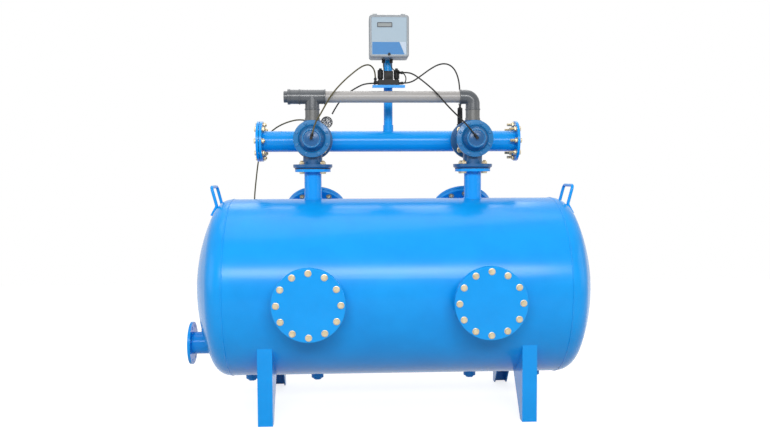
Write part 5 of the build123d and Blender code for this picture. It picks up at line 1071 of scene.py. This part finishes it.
collets = []
for width, _, _, end, _, _, points in ROUTES.values():
    if width == TUBE:
        collets.append((points[0], points[1]))
    if width == TUBE and end == "object":
        collets.append((points[-1], points[-2]))
bm = bmesh.new()
for mouth, ahead in collets:
    ring_spin(bm, aimed(mouth, Vector(ahead) - Vector(mouth)), scaled(COLLET), COLLET_SIDES)
solid("tube_collets", bm, "filter", "black_plastic")
print("collets:", len(collets))

# %% Lid of the terminal housing
HOUSING_INSET = 6 * MM
LID_HALF, LID_RISE, LID_DROP, LID_CORNER = 18 * MM, 36 * MM, 6 * MM, 4 * MM
LID_SUNK, LID_PROUD, LID_SOFT = 0.5 * MM, 2.5 * MM, 0.8 * MM
SCREW_INSET, SCREW_SUNK, SCREW_PROUD, SCREW_REACH = 5 * MM, 1 * MM, 1.6 * MM, 2.6 * MM

block_low, block_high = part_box("pilot_block")
block_x = middle("pilot_block").x
lid_left, lid_right = block_x - LID_HALF, block_x + LID_HALF
lid_bottom, lid_top = block_low.z + LID_RISE, block_high.z - LID_DROP
housing_front = block_low.y + HOUSING_INSET
lid_front = housing_front - LID_PROUD
bm = bmesh.new()
add_plate(bm, rounded((lid_left, lid_bottom, lid_right, lid_top), LID_CORNER),
          housing_front + LID_SUNK, lid_front, soften=LID_SOFT)
for x in (lid_left + SCREW_INSET, lid_right - SCREW_INSET):
    for z in (lid_bottom + SCREW_INSET, lid_top - SCREW_INSET):
        add_hexagon(bm, aimed((x, lid_front, z), (0, -1, 0)), -SCREW_SUNK, SCREW_PROUD, SCREW_REACH)
solid("terminal_lid", bm, "filter", "black_plastic")
print("lid", round((lid_top - lid_bottom) / MM, 1), "mm tall")

# %% [markdown]
# ## Gauge
# The gauge shows the pressure in the manifold. It has a rolled steel case, a white dial with
# marks from 0 to 10, a needle and a flat glass held by a rolled bezel. Eleven long marks and
# forty short ones go round three quarters of the dial, as the needle does. On a real dial they
# are printed. Here each is a thin block, because a block stays crisp however near the view is.

# %% Bezel and marks
BEZEL = [(-1, 1.0), (2.5, 1.045), (4.4, 1.03), (5.4, 0.97), (5.2, 0.91), (3.4, 0.885), (-1, 0.885)]
BEZEL_SEAT, PIVOT_LENGTH = 4.4 * MM, 6 * MM
SWEEP, DIVISIONS, DIVISIONS_PER_LONG = 270, 50, 5
LONG_START, SHORT_START, MARK_END = 0.62, 0.70, 0.80
LONG_WIDTH, SHORT_WIDTH = 0.5 * MM, 0.25 * MM
MARK_SUNK, MARK_PROUD = 0.1 * MM, 0.15 * MM
BLOCK_FACES = ((0, 1, 2, 3), (7, 6, 5, 4), (0, 4, 5, 1), (1, 5, 6, 2), (2, 6, 7, 3), (3, 7, 4, 0))

gauge = middle("gauge_lens")
gauge_radius = extent("gauge_case").x / 2
case_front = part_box("gauge_case")[0].y
dial_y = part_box("gauge_dial")[0].y + PIVOT_LENGTH
bm = bmesh.new()
ring_spin(bm, aimed((gauge.x, case_front + BEZEL_SEAT, gauge.z), (0, -1, 0)),
          scaled(BEZEL, MM, gauge_radius))
solid("gauge_bezel", bm, "filter", "gauge_steel")

bm = bmesh.new()
for mark in range(DIVISIONS + 1):
    angle = math.radians(-SWEEP / 2 + SWEEP * mark / DIVISIONS)
    outward = Vector((math.sin(angle), 0, math.cos(angle)))
    side = Vector((math.cos(angle), 0, -math.sin(angle)))
    long = mark % DIVISIONS_PER_LONG == 0
    start = LONG_START if long else SHORT_START
    width = LONG_WIDTH if long else SHORT_WIDTH
    corners = []
    for y in (dial_y + MARK_SUNK, dial_y - MARK_PROUD):
        for radius, way in ((start, -1), (MARK_END, -1), (MARK_END, 1), (start, 1)):
            spot = gauge + outward * radius * gauge_radius + side * way * width / 2
            corners.append(bm.verts.new((spot.x, y, spot.z)))
    for face in BLOCK_FACES:
        bm.faces.new([corners[index] for index in face])
solid("gauge_marks", bm, "filter", "needle_black")
print("gauge marks:", DIVISIONS + 1)

# %% Numbers on the dial
TOP_NUMBER, NUMBER_STEP = 10, 2
NUMBER_REACH, NUMBER_SIZE, NUMBER_STAND = 0.46, 6.0 * MM, 0.1 * MM

for number in range(0, TOP_NUMBER + 1, NUMBER_STEP):
    angle = math.radians(-SWEEP / 2 + SWEEP * number / TOP_NUMBER)
    name = "gauge_number_" + str(number)
    text = bpy.data.curves.new(name, "FONT")
    text.body = str(number)
    text.size = NUMBER_SIZE
    text.align_x, text.align_y = "CENTER", "CENTER"
    text.extrude = NUMBER_STAND
    text.materials.append(finishes["needle_black"])
    figure = bpy.data.objects.new(name, text)
    reach = NUMBER_REACH * gauge_radius
    figure.location = (gauge.x + reach * math.sin(angle), dial_y - NUMBER_STAND,
                       gauge.z + reach * math.cos(angle))
    figure.rotation_euler = (math.pi / 2, 0, 0)
    register(figure, "filter")
print("numbers from 0 to", TOP_NUMBER)

# %% [markdown]
# ## Strainer
# Before the control water reaches the pilots it passes a small strainer on the manifold. Its
# bowl is moulded with grip ribs so that it can be unscrewed by hand to rinse the mesh inside.
# The ribs are a wave in the radius as the outline is spun, so no rib is drawn by itself.

# %% Ribbed strainer bowl
GRIP_RIBS, GRIP_DEPTH, GRIP_LOW, GRIP_HIGH = 18, 0.05, 0.30, 0.84
SIDES_PER_RIB = 8
STRAINER = [(0.0, 0.60), (0.20, 0.60), (0.21, 0.96), (0.22, 1.0), (0.29, 1.0), (0.30, 0.96),
            (0.305, 0.74), (0.32, 0.78), (0.48, 0.79), (0.66, 0.78), (0.83, 0.76), (0.85, 0.80),
            (0.95, 0.80), (0.975, 0.76), (0.98, 0.50), (1.0, 0.46), (1.0, 0.05)]

strainer, strainer_size = middle("control_strainer"), extent("control_strainer")
strainer_foot = (strainer.x, strainer.y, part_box("control_strainer")[0].z)


def ribbed(angle, along, radius):
    """Grip ribs on the bowl only."""
    grip = GRIP_LOW < along / strainer_size.z < GRIP_HIGH
    return radius * (1 + (GRIP_DEPTH * math.cos(GRIP_RIBS * angle) if grip else 0))


bm = bmesh.new()
spin(bm, aimed(strainer_foot, (0, 0, 1)), scaled(STRAINER, strainer_size.z, strainer_size.x / 2),
     GRIP_RIBS * SIDES_PER_RIB, ribbed)
solid("ribbed_strainer", bm, "filter", "strainer_plastic", ["control_strainer"])
print("strainer", round(strainer_size.z, 3), "m tall")
